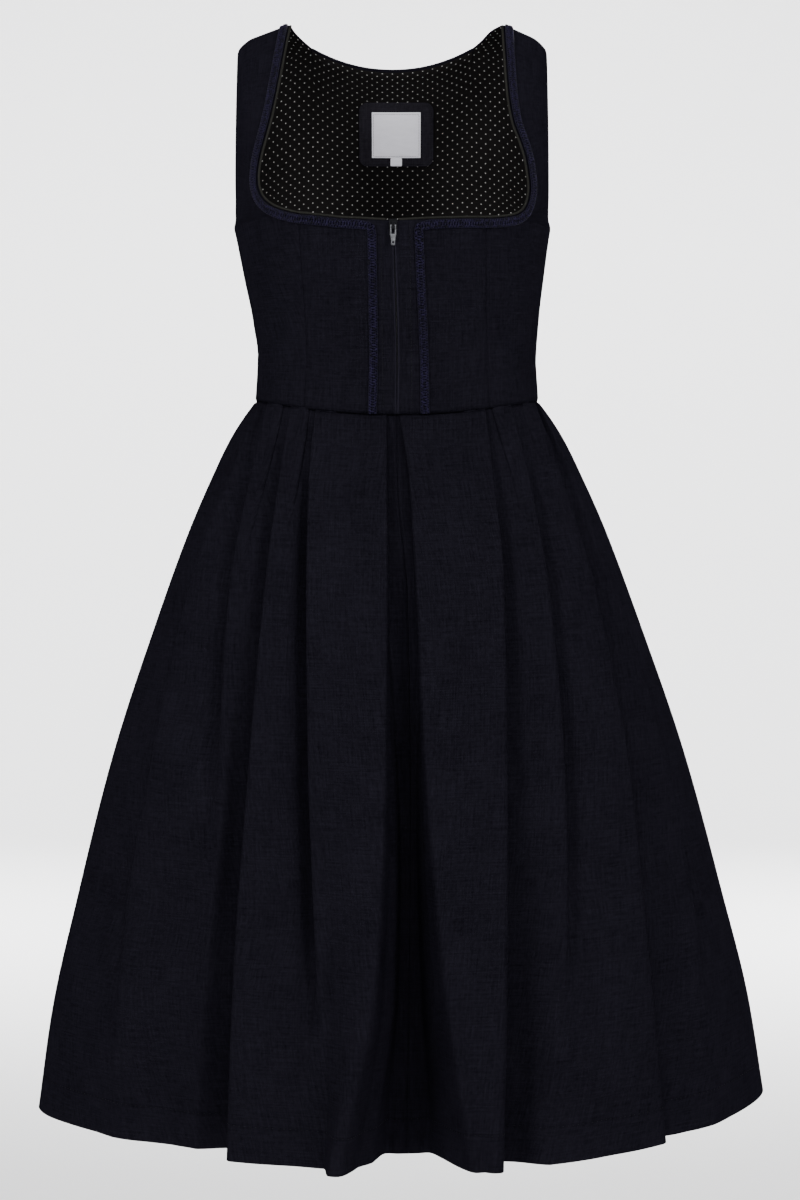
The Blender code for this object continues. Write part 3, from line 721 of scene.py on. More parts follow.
def tube_points(
    line: np.ndarray, radius: float, sides: int, up: np.ndarray
) -> tuple[np.ndarray, np.ndarray]:
    """Rings of points round a line.

    Args:
        line: Points of its middle.
        radius: Its radius.
        sides: Points in a ring.
        up: The direction that the first point of each ring keeps to.

    Returns:
        The points, and metres round and along.
    """
    tangents = unit(np.gradient(line, axis=0))
    first = unit(up - tangents * (up * tangents).sum(axis=1)[:, None])
    second = np.cross(tangents, first)
    turn = np.arange(sides) * 2 * np.pi / sides
    cosine, sine = np.cos(turn)[None, :, None], np.sin(turn)[None, :, None]
    rings = line[:, None] + radius * (cosine * first[:, None] + sine * second[:, None])
    walked = along(line, 0)
    round_it = np.broadcast_to(turn * radius, (len(line), sides))
    uv = np.stack([round_it, np.broadcast_to(walked[:, None], round_it.shape)], axis=-1)
    return rings.reshape(-1, 3), uv.reshape(-1, 2)


@dataclass(frozen=True)
class Stitch:
    """Sizes of one kind of stitch."""

    length: float
    pitch: float
    radius: float

    def sew(
        self, name: str, middles: np.ndarray, ways: np.ndarray, outs: np.ndarray,
        look: bpy.types.Material,
    ) -> bpy.types.Object:
        """A row of stitches, each a short thread whose ends sink into the cloth.

        Args:
            name: The piece's name.
            middles: Middle of each stitch, on the cloth's face.
            ways: Unit direction of each stitch.
            outs: Unit direction off the cloth.
            look: The thread's material.

        Returns:
            The finished piece.
        """
        reach = np.array((-0.5, -0.42, -0.2, 0.2, 0.42, 0.5)) * self.length
        rise = np.array((-0.9, 0.1, 0.7, 0.7, 0.1, -0.9)) * self.radius
        lines = [
            middle + way * reach[:, None] + out * rise[:, None]
            for middle, way, out in zip(middles, ways, outs)
        ]
        return tubes(name, lines, self.radius, 5, look, outs)


# ------------------------------------------------------------------ bodice
@dataclass(frozen=True)
class Crease:
    """A soft trough, or a ridge where its depth is negative."""

    face: Face
    start: tuple[float, float]
    end: tuple[float, float]
    bow: float
    width: float
    depth: float

    def at(self, across: np.ndarray, up: np.ndarray) -> np.ndarray:
        """How far it pushes the cloth outwards.

        Args:
            across: First coordinate of the places.
            up: Second coordinate.

        Returns:
            Distance at each place.
        """
        start = np.array(self.start)
        way = np.array(self.end) - start
        length = float(np.hypot(*way))
        way /= length
        x, z = across - start[0], up - start[1]
        t = (x * way[0] + z * way[1]) / length
        off = x * -way[1] + z * way[0] - self.bow * 4 * t * (1 - t)
        taper = ease(t / 0.35) * ease((1 - t) / 0.35)
        return -self.depth * taper * np.exp(-((off / self.width) ** 2))


@dataclass
class BodiceForm:
    """The bodice as rounded sections from the waist up to the shoulder seam."""

    cloth: float = 0.0014
    back_dip: float = 0.3
    shoulder_in: dict = field(default_factory=lambda: {Side.LEFT: 0.0982, Side.RIGHT: 0.1063})
    shoulder_out: float = 0.1485
    shoulder_slope: dict = field(default_factory=lambda: {Side.LEFT: 0.38, Side.RIGHT: 0.45})
    shoulder_round: tuple = (0.1332, 30.0)
    zip_lean: float = 0.0012
    back_neck_drop: float = 0.0173
    seam_stations: int = 9
    # share, height, half width, front depth, back depth, roundness, centre dip,
    # shoulder slope, sideways lean
    sections: tuple = (
        (0.00, -0.3630, 0.1350, 0.0830, 0.0800, 2.20, 0.0170, 0.00, 0.0045),
        (0.15, -0.3226, 0.1330, 0.0860, 0.0810, 2.20, 0.0110, 0.00, 0.0045),
        (0.30, -0.2840, 0.1365, 0.0975, 0.0860, 2.20, 0.0055, 0.00, 0.0035),
        (0.45, -0.2460, 0.1426, 0.1110, 0.0920, 2.25, 0.0018, 0.00, 0.0018),
        (0.60, -0.2074, 0.1490, 0.1180, 0.0985, 2.35, 0.0000, 0.00, 0.0005),
        (0.68, -0.1850, 0.1530, 0.1180, 0.1020, 2.40, 0.0000, 0.10, 0.0000),
        (0.76, -0.1500, 0.1560, 0.1090, 0.1040, 2.50, 0.0000, 0.30, 0.0000),
        (0.84, -0.1050, 0.1580, 0.0910, 0.0980, 2.50, 0.0000, 0.60, 0.0000),
        (0.92, -0.0550, 0.1590, 0.0610, 0.0780, 2.50, 0.0000, 0.85, 0.0000),
        (0.97, -0.0200, 0.1590, 0.0330, 0.0480, 2.50, 0.0000, 0.97, 0.0000),
        (0.99, -0.0060, 0.1590, 0.0150, 0.0220, 2.50, 0.0000, 0.99, 0.0000),
        (1.00, 0.0000, 0.1590, 0.0000, 0.0000, 2.50, 0.0000, 1.00, 0.0000),
    )
    # share of the height, and the princess seam's distance from the centre
    front_seam: tuple = (
        (0.00, 0.0875), (0.15, 0.0850), (0.30, 0.0850), (0.45, 0.0860), (0.57, 0.0868),
    )
    back_seam: tuple = (
        (0.00, 0.0600), (0.15, 0.0600), (0.30, 0.0630), (0.45, 0.0670), (0.57, 0.0705),
    )
    shares: tuple = (0.0, 0.05, 0.10, 0.15, 0.20, 0.26, 0.32, 0.38, 0.45, 0.51, 0.57)
    # the columns beside the zip, and the panel's width, both in millimetres
    zip_columns: tuple = (0.0, 0.4, 0.8, 1.2, 1.7, 2.3, 3.1, 4.0)
    zip_panel: float = 87.0
    neck_start_share: float = 0.993
    neck_end_x: float = 0.006
    # x and z of the front neckline's stations, from the princess seam up to the shoulder
    front_neck: dict = field(default_factory=lambda: {
        Side.RIGHT: (
            (0.0870, -0.1998), (0.0990, -0.1985), (0.1100, -0.1962), (0.1180, -0.1928),
            (0.1233, -0.1875), (0.1265, -0.1795), (0.1280, -0.1690), (0.1270, -0.1560),
            (0.1245, -0.1400), (0.1200, -0.1250), (0.1130, -0.1050), (0.1095, -0.0820),
            (0.1080, -0.0600), (0.1072, -0.0400), (0.1066, -0.0200), (0.1063, -0.0080),
        ),
        Side.LEFT: (
            (0.0870, -0.1955), (0.0960, -0.1930), (0.1040, -0.1900), (0.1110, -0.1862),
            (0.1175, -0.1808), (0.1220, -0.1740), (0.1247, -0.1645), (0.1247, -0.1530),
            (0.1228, -0.1390), (0.1195, -0.1250), (0.1145, -0.1050), (0.1100, -0.0820),
            (0.1065, -0.0600), (0.1035, -0.0400), (0.1005, -0.0200), (0.0988, -0.0080),
        ),
    })
    neck_bottom: dict = field(default_factory=lambda: {
        Side.RIGHT: ((0.0000, -0.2043), (0.0300, -0.2026), (0.0870, -0.1998)),
        Side.LEFT: ((0.0000, -0.2043), (0.0480, -0.2014), (0.0870, -0.1955)),
    })
    front_armhole: tuple = (
        -0.2000, -0.1930, -0.1860, -0.1790, -0.1710, -0.1620, -0.1510, -0.1390,
        -0.1270, -0.1150, -0.1000, -0.0830, -0.0670, -0.0530, -0.0410, -0.0320,
    )
    back_neck: tuple = (
        (0.0715, -0.2010), (0.0725, -0.1830), (0.0735, -0.1640), (0.0745, -0.1400),
        (0.0755, -0.1150), (0.0765, -0.0900), (0.0770, -0.0650), (0.0775, -0.0420),
        (0.0785, -0.0156), (0.0865, -0.0103), (0.0945, -0.0042),
    )
    back_armhole: tuple = (
        -0.2000, -0.1930, -0.1830, -0.1690, -0.1470, -0.1200, -0.0950, -0.0720,
        -0.0530, -0.0410, -0.0330,
    )
    # Soft folds: places are x and z.
    creases: tuple = (
        Crease(Face.FRONT, (-0.1500, -0.158), (-0.1180, -0.275), 0.006, 0.0060, 0.0016),
        Crease(Face.FRONT, (-0.1480, -0.178), (-0.1050, -0.235), 0.004, 0.0070, -0.0009),
        Crease(Face.FRONT, (-0.1400, -0.300), (-0.1020, -0.352), 0.005, 0.0055, 0.0011),
        Crease(Face.FRONT, (-0.1320, -0.345), (-0.0700, -0.322), -0.004, 0.0060, 0.0009),
        Crease(Face.FRONT, (-0.0780, -0.225), (-0.0560, -0.345), 0.003, 0.0110, 0.0010),
        Crease(Face.FRONT, (0.1500, -0.170), (0.1180, -0.262), -0.005, 0.0065, 0.0012),
        Crease(Face.FRONT, (0.1420, -0.318), (0.0960, -0.345), 0.004, 0.0060, 0.0010),
        Crease(Face.FRONT, (0.1380, -0.290), (0.1080, -0.312), 0.003, 0.0050, -0.0007),
        Crease(Face.FRONT, (0.0720, -0.230), (0.0600, -0.340), -0.003, 0.0120, 0.0009),
        Crease(Face.BACK, (-0.1460, -0.185), (-0.0950, -0.262), 0.005, 0.0070, 0.0014),
        Crease(Face.BACK, (0.1460, -0.180), (0.1020, -0.252), -0.005, 0.0070, 0.0013),
        Crease(Face.BACK, (-0.1250, -0.322), (-0.0400, -0.336), 0.005, 0.0070, 0.0013),
        Crease(Face.BACK, (0.1280, -0.328), (0.0300, -0.318), -0.004, 0.0065, 0.0012),
        Crease(Face.BACK, (-0.0500, -0.300), (0.0450, -0.308), 0.004, 0.0075, -0.0009),
        Crease(Face.BACK, (-0.0400, -0.120), (0.0300, -0.150), 0.006, 0.0120, 0.0008),
    )

    def __post_init__(self) -> None:
        """Turns the sections into smooth lines."""
        rows = np.array(self.sections)
        lines = [Curve(rows[:, 0], rows[:, i]) for i in range(1, 9)]
        self.height, self.width, self.front_depth, self.back_depth = lines[:4]
        self.roundness, self.dip, self.slope, self.lean = lines[4:]

    def point(self, angle: np.ndarray, share: np.ndarray, face: Face) -> np.ndarray:
        """Points of the plain form.

        Args:
            angle: Turn from the centre; a quarter turn is the side seam.
            share: Share of the height.
            face: Front or back.

        Returns:
            World places.
        """
        angle, share = np.broadcast_arrays(np.asarray(angle, float), np.asarray(share, float))
        back = face is Face.BACK
        depth = (self.back_depth if back else self.front_depth)(share)
        power = 2 / self.roundness(share)
        cosine = np.maximum(0.0, np.cos(angle))
        x = np.copysign(self.width(share) * np.sin(np.abs(angle)) ** power, angle)
        y = depth * cosine**power * face.value
        z = self.height(share) - self.dip(share) * cosine**2 * (self.back_dip if back else 1.0)
        inner, fall = (
            np.where(x > 0, pair[Side.RIGHT], pair[Side.LEFT])
            for pair in (self.shoulder_in, self.shoulder_slope)
        )
        start, bend = self.shoulder_round
        drop = fall * np.maximum(0.0, np.abs(x) - inner)
        drop = drop + bend * np.maximum(0.0, np.abs(x) - start) ** 2
        z = z - self.slope(share) * drop
        return np.stack([x + self.lean(share), y, z], axis=-1)

    def outward(self, angle: np.ndarray, share: np.ndarray, face: Face) -> np.ndarray:
        """Unit direction away from the hollow."""
        angle, share = np.broadcast_arrays(np.asarray(angle, float), np.asarray(share, float))
        step = 0.004
        high = np.minimum(0.996, share + step)
        low = np.maximum(0.0, high - 2 * step)
        limit = math.pi / 2 - 0.02
        angle = np.clip(angle, -limit, limit)
        around = self.point(angle + step, share, face) - self.point(angle - step, share, face)
        up = self.point(angle, high, face) - self.point(angle, low, face)
        return unit(np.cross(around, up) * -face.value)

    def dressed(
        self, angle: np.ndarray, share: np.ndarray, face: Face, out: float = 0.0
    ) -> np.ndarray:
        """Points with the soft folds, moved out or in.

        Args:
            angle: Turn from the centre.
            share: Share of the height.
            face: Front or back.
            out: Distance from the middle of the cloth.

        Returns:
            World places.
        """
        plain = self.point(angle, share, face)
        push = np.full(plain.shape[:-1], float(out))
        for crease in self.creases:
            if crease.face is face:
                push += crease.at(plain[..., 0], plain[..., 2])
        return plain + self.outward(angle, share, face) * push[..., None]

    def angle_of(self, x: np.ndarray, share: np.ndarray) -> np.ndarray:
        """Turn of the place at this distance from the centre."""
        ratio = np.minimum(1.0, np.abs(x) / self.width(share))
        return np.copysign(np.arcsin(ratio ** (self.roundness(share) / 2)), x)

    def place_of(self, x: np.ndarray, z: np.ndarray, face: Face) -> np.ndarray:
        """Turn and height share of the places at these x and z.

        Args:
            x: Distance from the centre.
            z: Height.
            face: Front or back.

        Returns:
            Rows of turn and share.
        """
        x, z = np.broadcast_arrays(np.asarray(x, float), np.asarray(z, float))
        low, high = np.zeros(x.shape), np.ones(x.shape)
        for _ in range(40):
            share = (low + high) / 2
            under = self.point(self.angle_of(x, share), share, face)[..., 2] < z
            low = np.where(under, share, low)
            high = np.where(under, high, share)
        return np.stack([self.angle_of(x, share), share], axis=-1)

    def edges(self, side: Side, face: Face, fine: int = 4) -> tuple[np.ndarray, np.ndarray]:
        """Places along a side panel's two long edges.

        Args:
            side: Left or right.
            face: Front or back.
            fine: Steps between two stations.

        Returns:
            Princess seam and neck, then side seam and armhole.
        """
        back = face is Face.BACK
        seam = np.array(self.back_seam if back else self.front_seam)
        neck = np.array(self.back_neck if back else self.front_neck[side])
        armhole = self.back_armhole if back else self.front_armhole
        shares = np.array(self.shares)
        half = np.interp(shares, seam[:, 0], seam[:, 1])
        inner = np.stack([self.angle_of(half, shares), shares], axis=-1)
        outer = np.stack([np.full(len(shares), math.pi / 2), shares], axis=-1)
        top_in = self.place_of(neck[:, 0], neck[:, 1], face)
        top_out = self.place_of(self.shoulder_out, np.array(armhole), face)
        top_out[0, 0] = math.pi / 2
        one = np.ones(1)
        end_in = np.stack([self.angle_of(np.array([self.shoulder_in[side]]), one), one], -1)
        end_out = np.stack([self.angle_of(np.array([self.shoulder_out]), one), one], -1)
        corner = self.seam_stations if back else 1
        lines = []
        for low, high, end, turn in ((inner, top_in, end_in, corner), (outer, top_out, end_out, 1)):
            below = through(np.vstack([low, high[:1]]), [fine] * len(low))
            rows = np.vstack([high, end])
            if turn > 1:
                opening = through(rows[:turn], [fine] * (turn - 1))
                below = np.vstack([below, opening[1:]])
            above = through(rows[turn - 1 :], [fine] * (len(rows) - turn))
            lines.append(np.vstack([below, above[1:]]))
        return lines[0], lines[1]

    def side_grid(self, side: Side, face: Face, columns: int, out: float = 0.0) -> np.ndarray:
        """Panel from the princess seam to the side seam, with its strap.

        Args:
            side: Left or right.
            face: Front or back.
            columns: Steps across.
            out: Distance from the middle of the cloth.

        Returns:
            Rows from the waist up, columns left to right as seen from outside.
        """
        inner, outer = self.edges(side, face)
        t = crowded(columns)[None, :, None]
        places = inner[:, None] * (1 - t) + outer[:, None] * t
        grid = self.dressed(side.value * places[..., 0], places[..., 1], face, out)
        return grid if (side is Side.RIGHT) != (face is Face.BACK) else grid[:, ::-1]

    def centre_front(self, side: Side, columns: int, out: float = 0.0) -> np.ndarray:
        """Panel between the zip and a princess seam, from the waist up."""
        line = np.array(self.neck_bottom[side])
        top = self.place_of(line[:, 0], line[:, 1], Face.FRONT)[:, 1]
        seam = np.array(self.front_seam)
        shares = np.array(self.shares)
        rows = through(shares[:, None], [4] * (len(shares) - 1))[:, 0]
        fine = np.array(self.zip_columns) / self.zip_panel
        t = np.concatenate([fine, crowded(columns)[4:]])
        half = np.interp(rows, seam[:, 0], seam[:, 1])
        x = half[:, None] * t
        share = np.broadcast_to(rows[:, None], x.shape)
        last_x = line[-1, 0] * t
        last = np.interp(last_x, line[:, 0], top)
        steps = (np.arange(1, 6) / 5)[:, None]
        x = np.vstack([x, x[-1] + (last_x - x[-1]) * steps])
        share = np.vstack([share, share[-1] + (last - share[-1]) * steps])
        lean = self.zip_lean * np.minimum(1.0, share / top[0]) * (1 - t)
        angle = self.angle_of(side.value * x + lean, share)
        grid = self.dressed(angle, share, Face.FRONT, out)
        return grid if side is Side.RIGHT else grid[:, ::-1]

    def centre_back(self, columns: int, out: float = 0.0) -> np.ndarray:
        """Panel between the back princess seams, seen from behind, from the waist up."""
        seam = np.array(self.back_seam)
        shares = np.array(self.shares)
        neck = np.array(self.back_neck[: self.seam_stations])
        half = np.interp(shares, seam[:, 0], seam[:, 1])
        top = self.place_of(neck[:, 0], neck[:, 1], Face.BACK)[:, 1]
        low = np.stack([half, shares], -1)
        high = np.stack([neck[:, 0], top], -1)
        below = through(np.vstack([low, high[:1]]), [4] * len(low))
        above = through(high, [4] * (len(high) - 1))
        places = np.vstack([below, above[1:]])
        lowest_z = np.array([neck[-1, 1] - self.back_neck_drop])
        lowest = self.place_of(np.zeros(1), lowest_z, Face.BACK)
        drop = places[-1, 1] - float(lowest[0, 1])
        s = 2 * crowded(columns) - 1
        up = np.linspace(0, 1, len(places))[:, None]
        share = places[:, 1:] - drop * up**4 * (1 - np.abs(s) ** 2.1)
        angle = self.angle_of(places[:, :1] * s, share)
        return self.dressed(angle, share, Face.BACK, out)[:, ::-1]

    def neckline(self, side: Side, fine: int = 8) -> np.ndarray:
        """Places along the front neckline, from the shoulder to the zip."""
        line = np.array(self.neck_bottom[side])
        bottom_x = np.linspace(line[-1, 0], self.neck_end_x, 7)
        bottom_z = np.interp(bottom_x, line[:, 0], line[:, 1])
        stations = np.array(self.front_neck[side])[::-1]
        top = self.neck_start_share
        places = np.vstack([
            np.array([[float(self.angle_of(np.array(self.shoulder_in[side]), top)), top]]),
            self.place_of(stations[:, 0], stations[:, 1], Face.FRONT),
            self.place_of(bottom_x[1:], bottom_z[1:], Face.FRONT),
        ])
        fine_places = through(places, [fine] * (len(places) - 1))
        return fine_places * (side.value, 1)


def cloth_uv(grid: np.ndarray, centre: int = 0) -> np.ndarray:
    """Metres across and along a grid of cloth.

    Args:
        grid: Points.
        centre: Column that the distance across is counted from.

    Returns:
        Two numbers a point.
    """
    across = along(grid, 1)
    across = across - across[:, centre : centre + 1]
    down = along(grid, 0)
    down = np.broadcast_to(down.mean(axis=1, keepdims=True), across.shape)
    return np.stack([across, down], axis=-1)


def rolled(
    grid: np.ndarray, edges: Sequence[str], depth: float = 0.0008, reach: float = 0.0020
) -> np.ndarray:
    """Eases chosen edges inwards, so that a seam reads as a soft groove.

    Args:
        grid: Points, their normals facing out.
        edges: Any of low, high, first and last.
        depth: How far the very edge goes in.
        reach: Width of the rounded strip.

    Returns:
        The new points.
    """
    across, up = along(grid, 1), along(grid, 0)
    gaps = {
        "first": across, "last": across[:, -1:] - across,
        "low": up, "high": up[-1:] - up,
    }
    push = np.zeros(grid.shape[:2])
    for edge in edges:
        push += np.exp(-((gaps[edge] / reach) ** 2))
    return grid - grid_normals(grid) * (np.minimum(push, 1.2) * depth)[..., None]


@dataclass
class Bodice:
    """The seven panels of the bodice and the lining that shows at the back."""

    form: BodiceForm
    looks: Wardrobe
    centre_columns: int = 26
    side_columns: int = 30
    back_columns: int = 36
    zip_roll: float = 0.0013
    seam_roll: float = 0.0011
    edge_roll: float = 0.0010
    waist_roll: tuple = (0.0010, 0.0011)
    centre_cut: tuple = (0.090, 0.180)
    side_front_cut: tuple = (0.125, 0.420)
    side_front_area: float = 0.0300
    side_back_cut: tuple = (0.135, 0.400)
    side_back_area: float = 0.0400
    back_cut: tuple = (0.165, 0.360)
    back_area: float = 0.0500
    lining_cut: tuple = (0.430, 0.400)
    lining_area: float = 0.1250
    lining_in: float = 0.0022
    lining_thick: float = 0.0010
    neck_border: float = 0.0020
    armhole_border: float = 0.0040
    shoulder_border: float = 0.0045
    border_reach: float = 0.06
    # the zip's slot: half its width at the ends, and what the middle adds
    slot: tuple = (0.0003, 0.0006)
    slot_reach: float = 0.005
    # the folded edges beside it: height, distance from the zip, width, and the very edge's fall
    ridge: dict = field(default_factory=lambda: {Side.LEFT: 0.0009, Side.RIGHT: 0.0006})
    ridge_place: float = 0.0021
    ridge_width: float = 0.0013
    edge_fall: tuple = (0.0007, 0.0006)

    def build(self) -> None:
        """Builds every panel."""
        for side in Side:
            self.centre_front(side)
            for face in Face:
                self.side_panel(side, face)
        self.centre_back()
        self.lining()

    def centre_front(self, side: Side) -> None:
        """The panel beside the zip, its zip edge turned back to show the chain."""
        grid = self.form.centre_front(side, self.centre_columns)
        right = side is Side.RIGHT
        grid = rolled(grid, ["last" if right else "first"], self.zip_roll)
        grid = rolled(grid, ["low"], *self.waist_roll)
        grid = self.placket(grid, side)
        name = f"bodice_centre_front_{side.word}"
        uv = cloth_uv(grid, 0 if right else grid.shape[1] - 1)
        piece = Sheet(f"{name}_cloth", [grid], [uv], self.looks.placket, self.looks.lining).build()
        register(piece, GARMENT, [name])

    def placket(self, grid: np.ndarray, side: Side) -> np.ndarray:
        """Opens a narrow slot at the zip, between two soft folded edges.

        Args:
            grid: The panel, from the waist up.
            side: Left or right.

        Returns:
            The new points.
        """
        across = along(grid, 1)
        gap = across if side is Side.RIGHT else across[:, -1:] - across
        up = along(grid, 0)
        up = up / up[-1:]
        slot = self.slot[0] + self.slot[1] * np.sin(math.pi * np.minimum(1.0, up * 1.05))
        ridge = np.exp(-(((gap - self.ridge_place) / self.ridge_width) ** 2))
        fall = self.edge_fall[0] * np.exp(-((gap / self.edge_fall[1]) ** 2))
        moved = grid + grid_normals(grid) * (self.ridge[side] * ridge - fall)[..., None]
        moved[..., 0] += side.value * slot * np.exp(-((gap / self.slot_reach) ** 2))
        return moved

    def side_panel(self, side: Side, face: Face) -> None:
        """The panel under the arm, with its strap."""
        back = face is Face.BACK
        grid = self.form.side_grid(side, face, self.side_columns)
        grid = rolled(grid, ["first", "last"], self.seam_roll)
        grid = rolled(grid, ["low"], *self.waist_roll)
        grid = rolled(grid, ["high"], self.edge_roll)
        name = f"bodice_side_{face.word}_{side.word}"
        inside = self.looks.bodice if back else self.looks.lining
        uv = cloth_uv(grid)
        piece = Sheet(f"{name}_cloth", [grid], [uv], self.looks.bodice, inside).build()
        register(piece, GARMENT, [name])

    def centre_back(self) -> None:
        """The panel down the middle of the back."""
        grid = rolled(self.form.centre_back(self.back_columns), ["first", "last"])
        grid = rolled(grid, ["low"], *self.waist_roll)
        name = "bodice_centre_back"
        uv = cloth_uv(grid, self.back_columns // 2)
        piece = Sheet(f"{name}_cloth", [grid], [uv], self.looks.bodice).build()
        register(piece, GARMENT, [name])

    def lining(self) -> None:
        """The dotted lining inside the back, its dots running on over the seams."""
        centre = self.form.centre_back(self.back_columns, -self.lining_in)
        middle = self.back_columns // 2
        edge_up = along(centre, 0)[:, -1]
        across = along(centre, 1)
        across = across - across[:, middle : middle + 1]
        grids = [self.lowered(centre, self.neck_border)]
        uvs = [np.stack([across, np.broadcast_to(edge_up[:, None], across.shape)], -1)]
        rows = len(centre)
        for side in Side:
            grid = self.form.side_grid(side, Face.BACK, self.side_columns, -self.lining_in)
            first = side is Side.LEFT
            walked = along(grid, 1)
            if not first:
                walked = walked - walked[:, -1:]
            start = across[:, -1] if first else across[:, 0]
            start = np.concatenate([start, np.full(len(grid) - rows, start[-1])])
            seam = along(grid, 0)[:, 0 if first else -1]
            up = np.concatenate([edge_up, edge_up[-1] + seam[rows:] - seam[rows - 1]])
            up = np.broadcast_to(up[:, None], walked.shape)
            grids.append(self.inset(grid, "last" if first else "first", rows))
            uvs.append(np.stack([walked + start[:, None], up], -1))
        piece = Sheet(
            "lining_back_cloth", grids, uvs, self.looks.lining, thick=self.lining_thick
        ).build()
        register(piece, GARMENT, ["lining_back"])

    def inset(self, grid: np.ndarray, armhole: str, rows: int) -> np.ndarray:
        """Keeps the lining inside the armhole's edge, the neck and the shoulder seam.

        Args:
            grid: The lining under a side panel.
            armhole: Which edge is the armhole's: first or last.
            rows: Row where the neck's edge starts.

        Returns:
            The new points.
        """
        grid = grid.copy()
        across = along(grid, 1)
        share = across / across[:, -1:]
        if armhole == "first":
            share = 1 - share
        shown = np.clip((np.arange(len(grid)) - rows + 3) / 3, 0, 1)[:, None]
        gap = self.armhole_border * share - self.neck_border * shown * (1 - share)
        way = unit(np.gradient(grid, axis=1))
        grid += way * (gap if armhole == "first" else -gap)[..., None]
        return self.lowered(grid, self.shoulder_border)

    def lowered(self, grid: np.ndarray, gap: float) -> np.ndarray:
        """Eases a grid down from its top edge by a small gap."""
        up = along(grid, 0)
        way = unit(np.gradient(grid, axis=0))
        near = np.clip((up - up[-1:] + self.border_reach) / self.border_reach, 0.0, 1.0) * gap
        return grid - way * near[..., None]


# ------------------------------------------------------------------ skirt
@dataclass(frozen=True)
class Pleat:
    """One knife pleat, its edge traced down the skirt."""

    edge: tuple
    tuck_waist: float
    tuck_hem: float
    crest: float
    valley: float
    first: float = -1.0
    last: float = 2.0
    hollow: float = 0.009


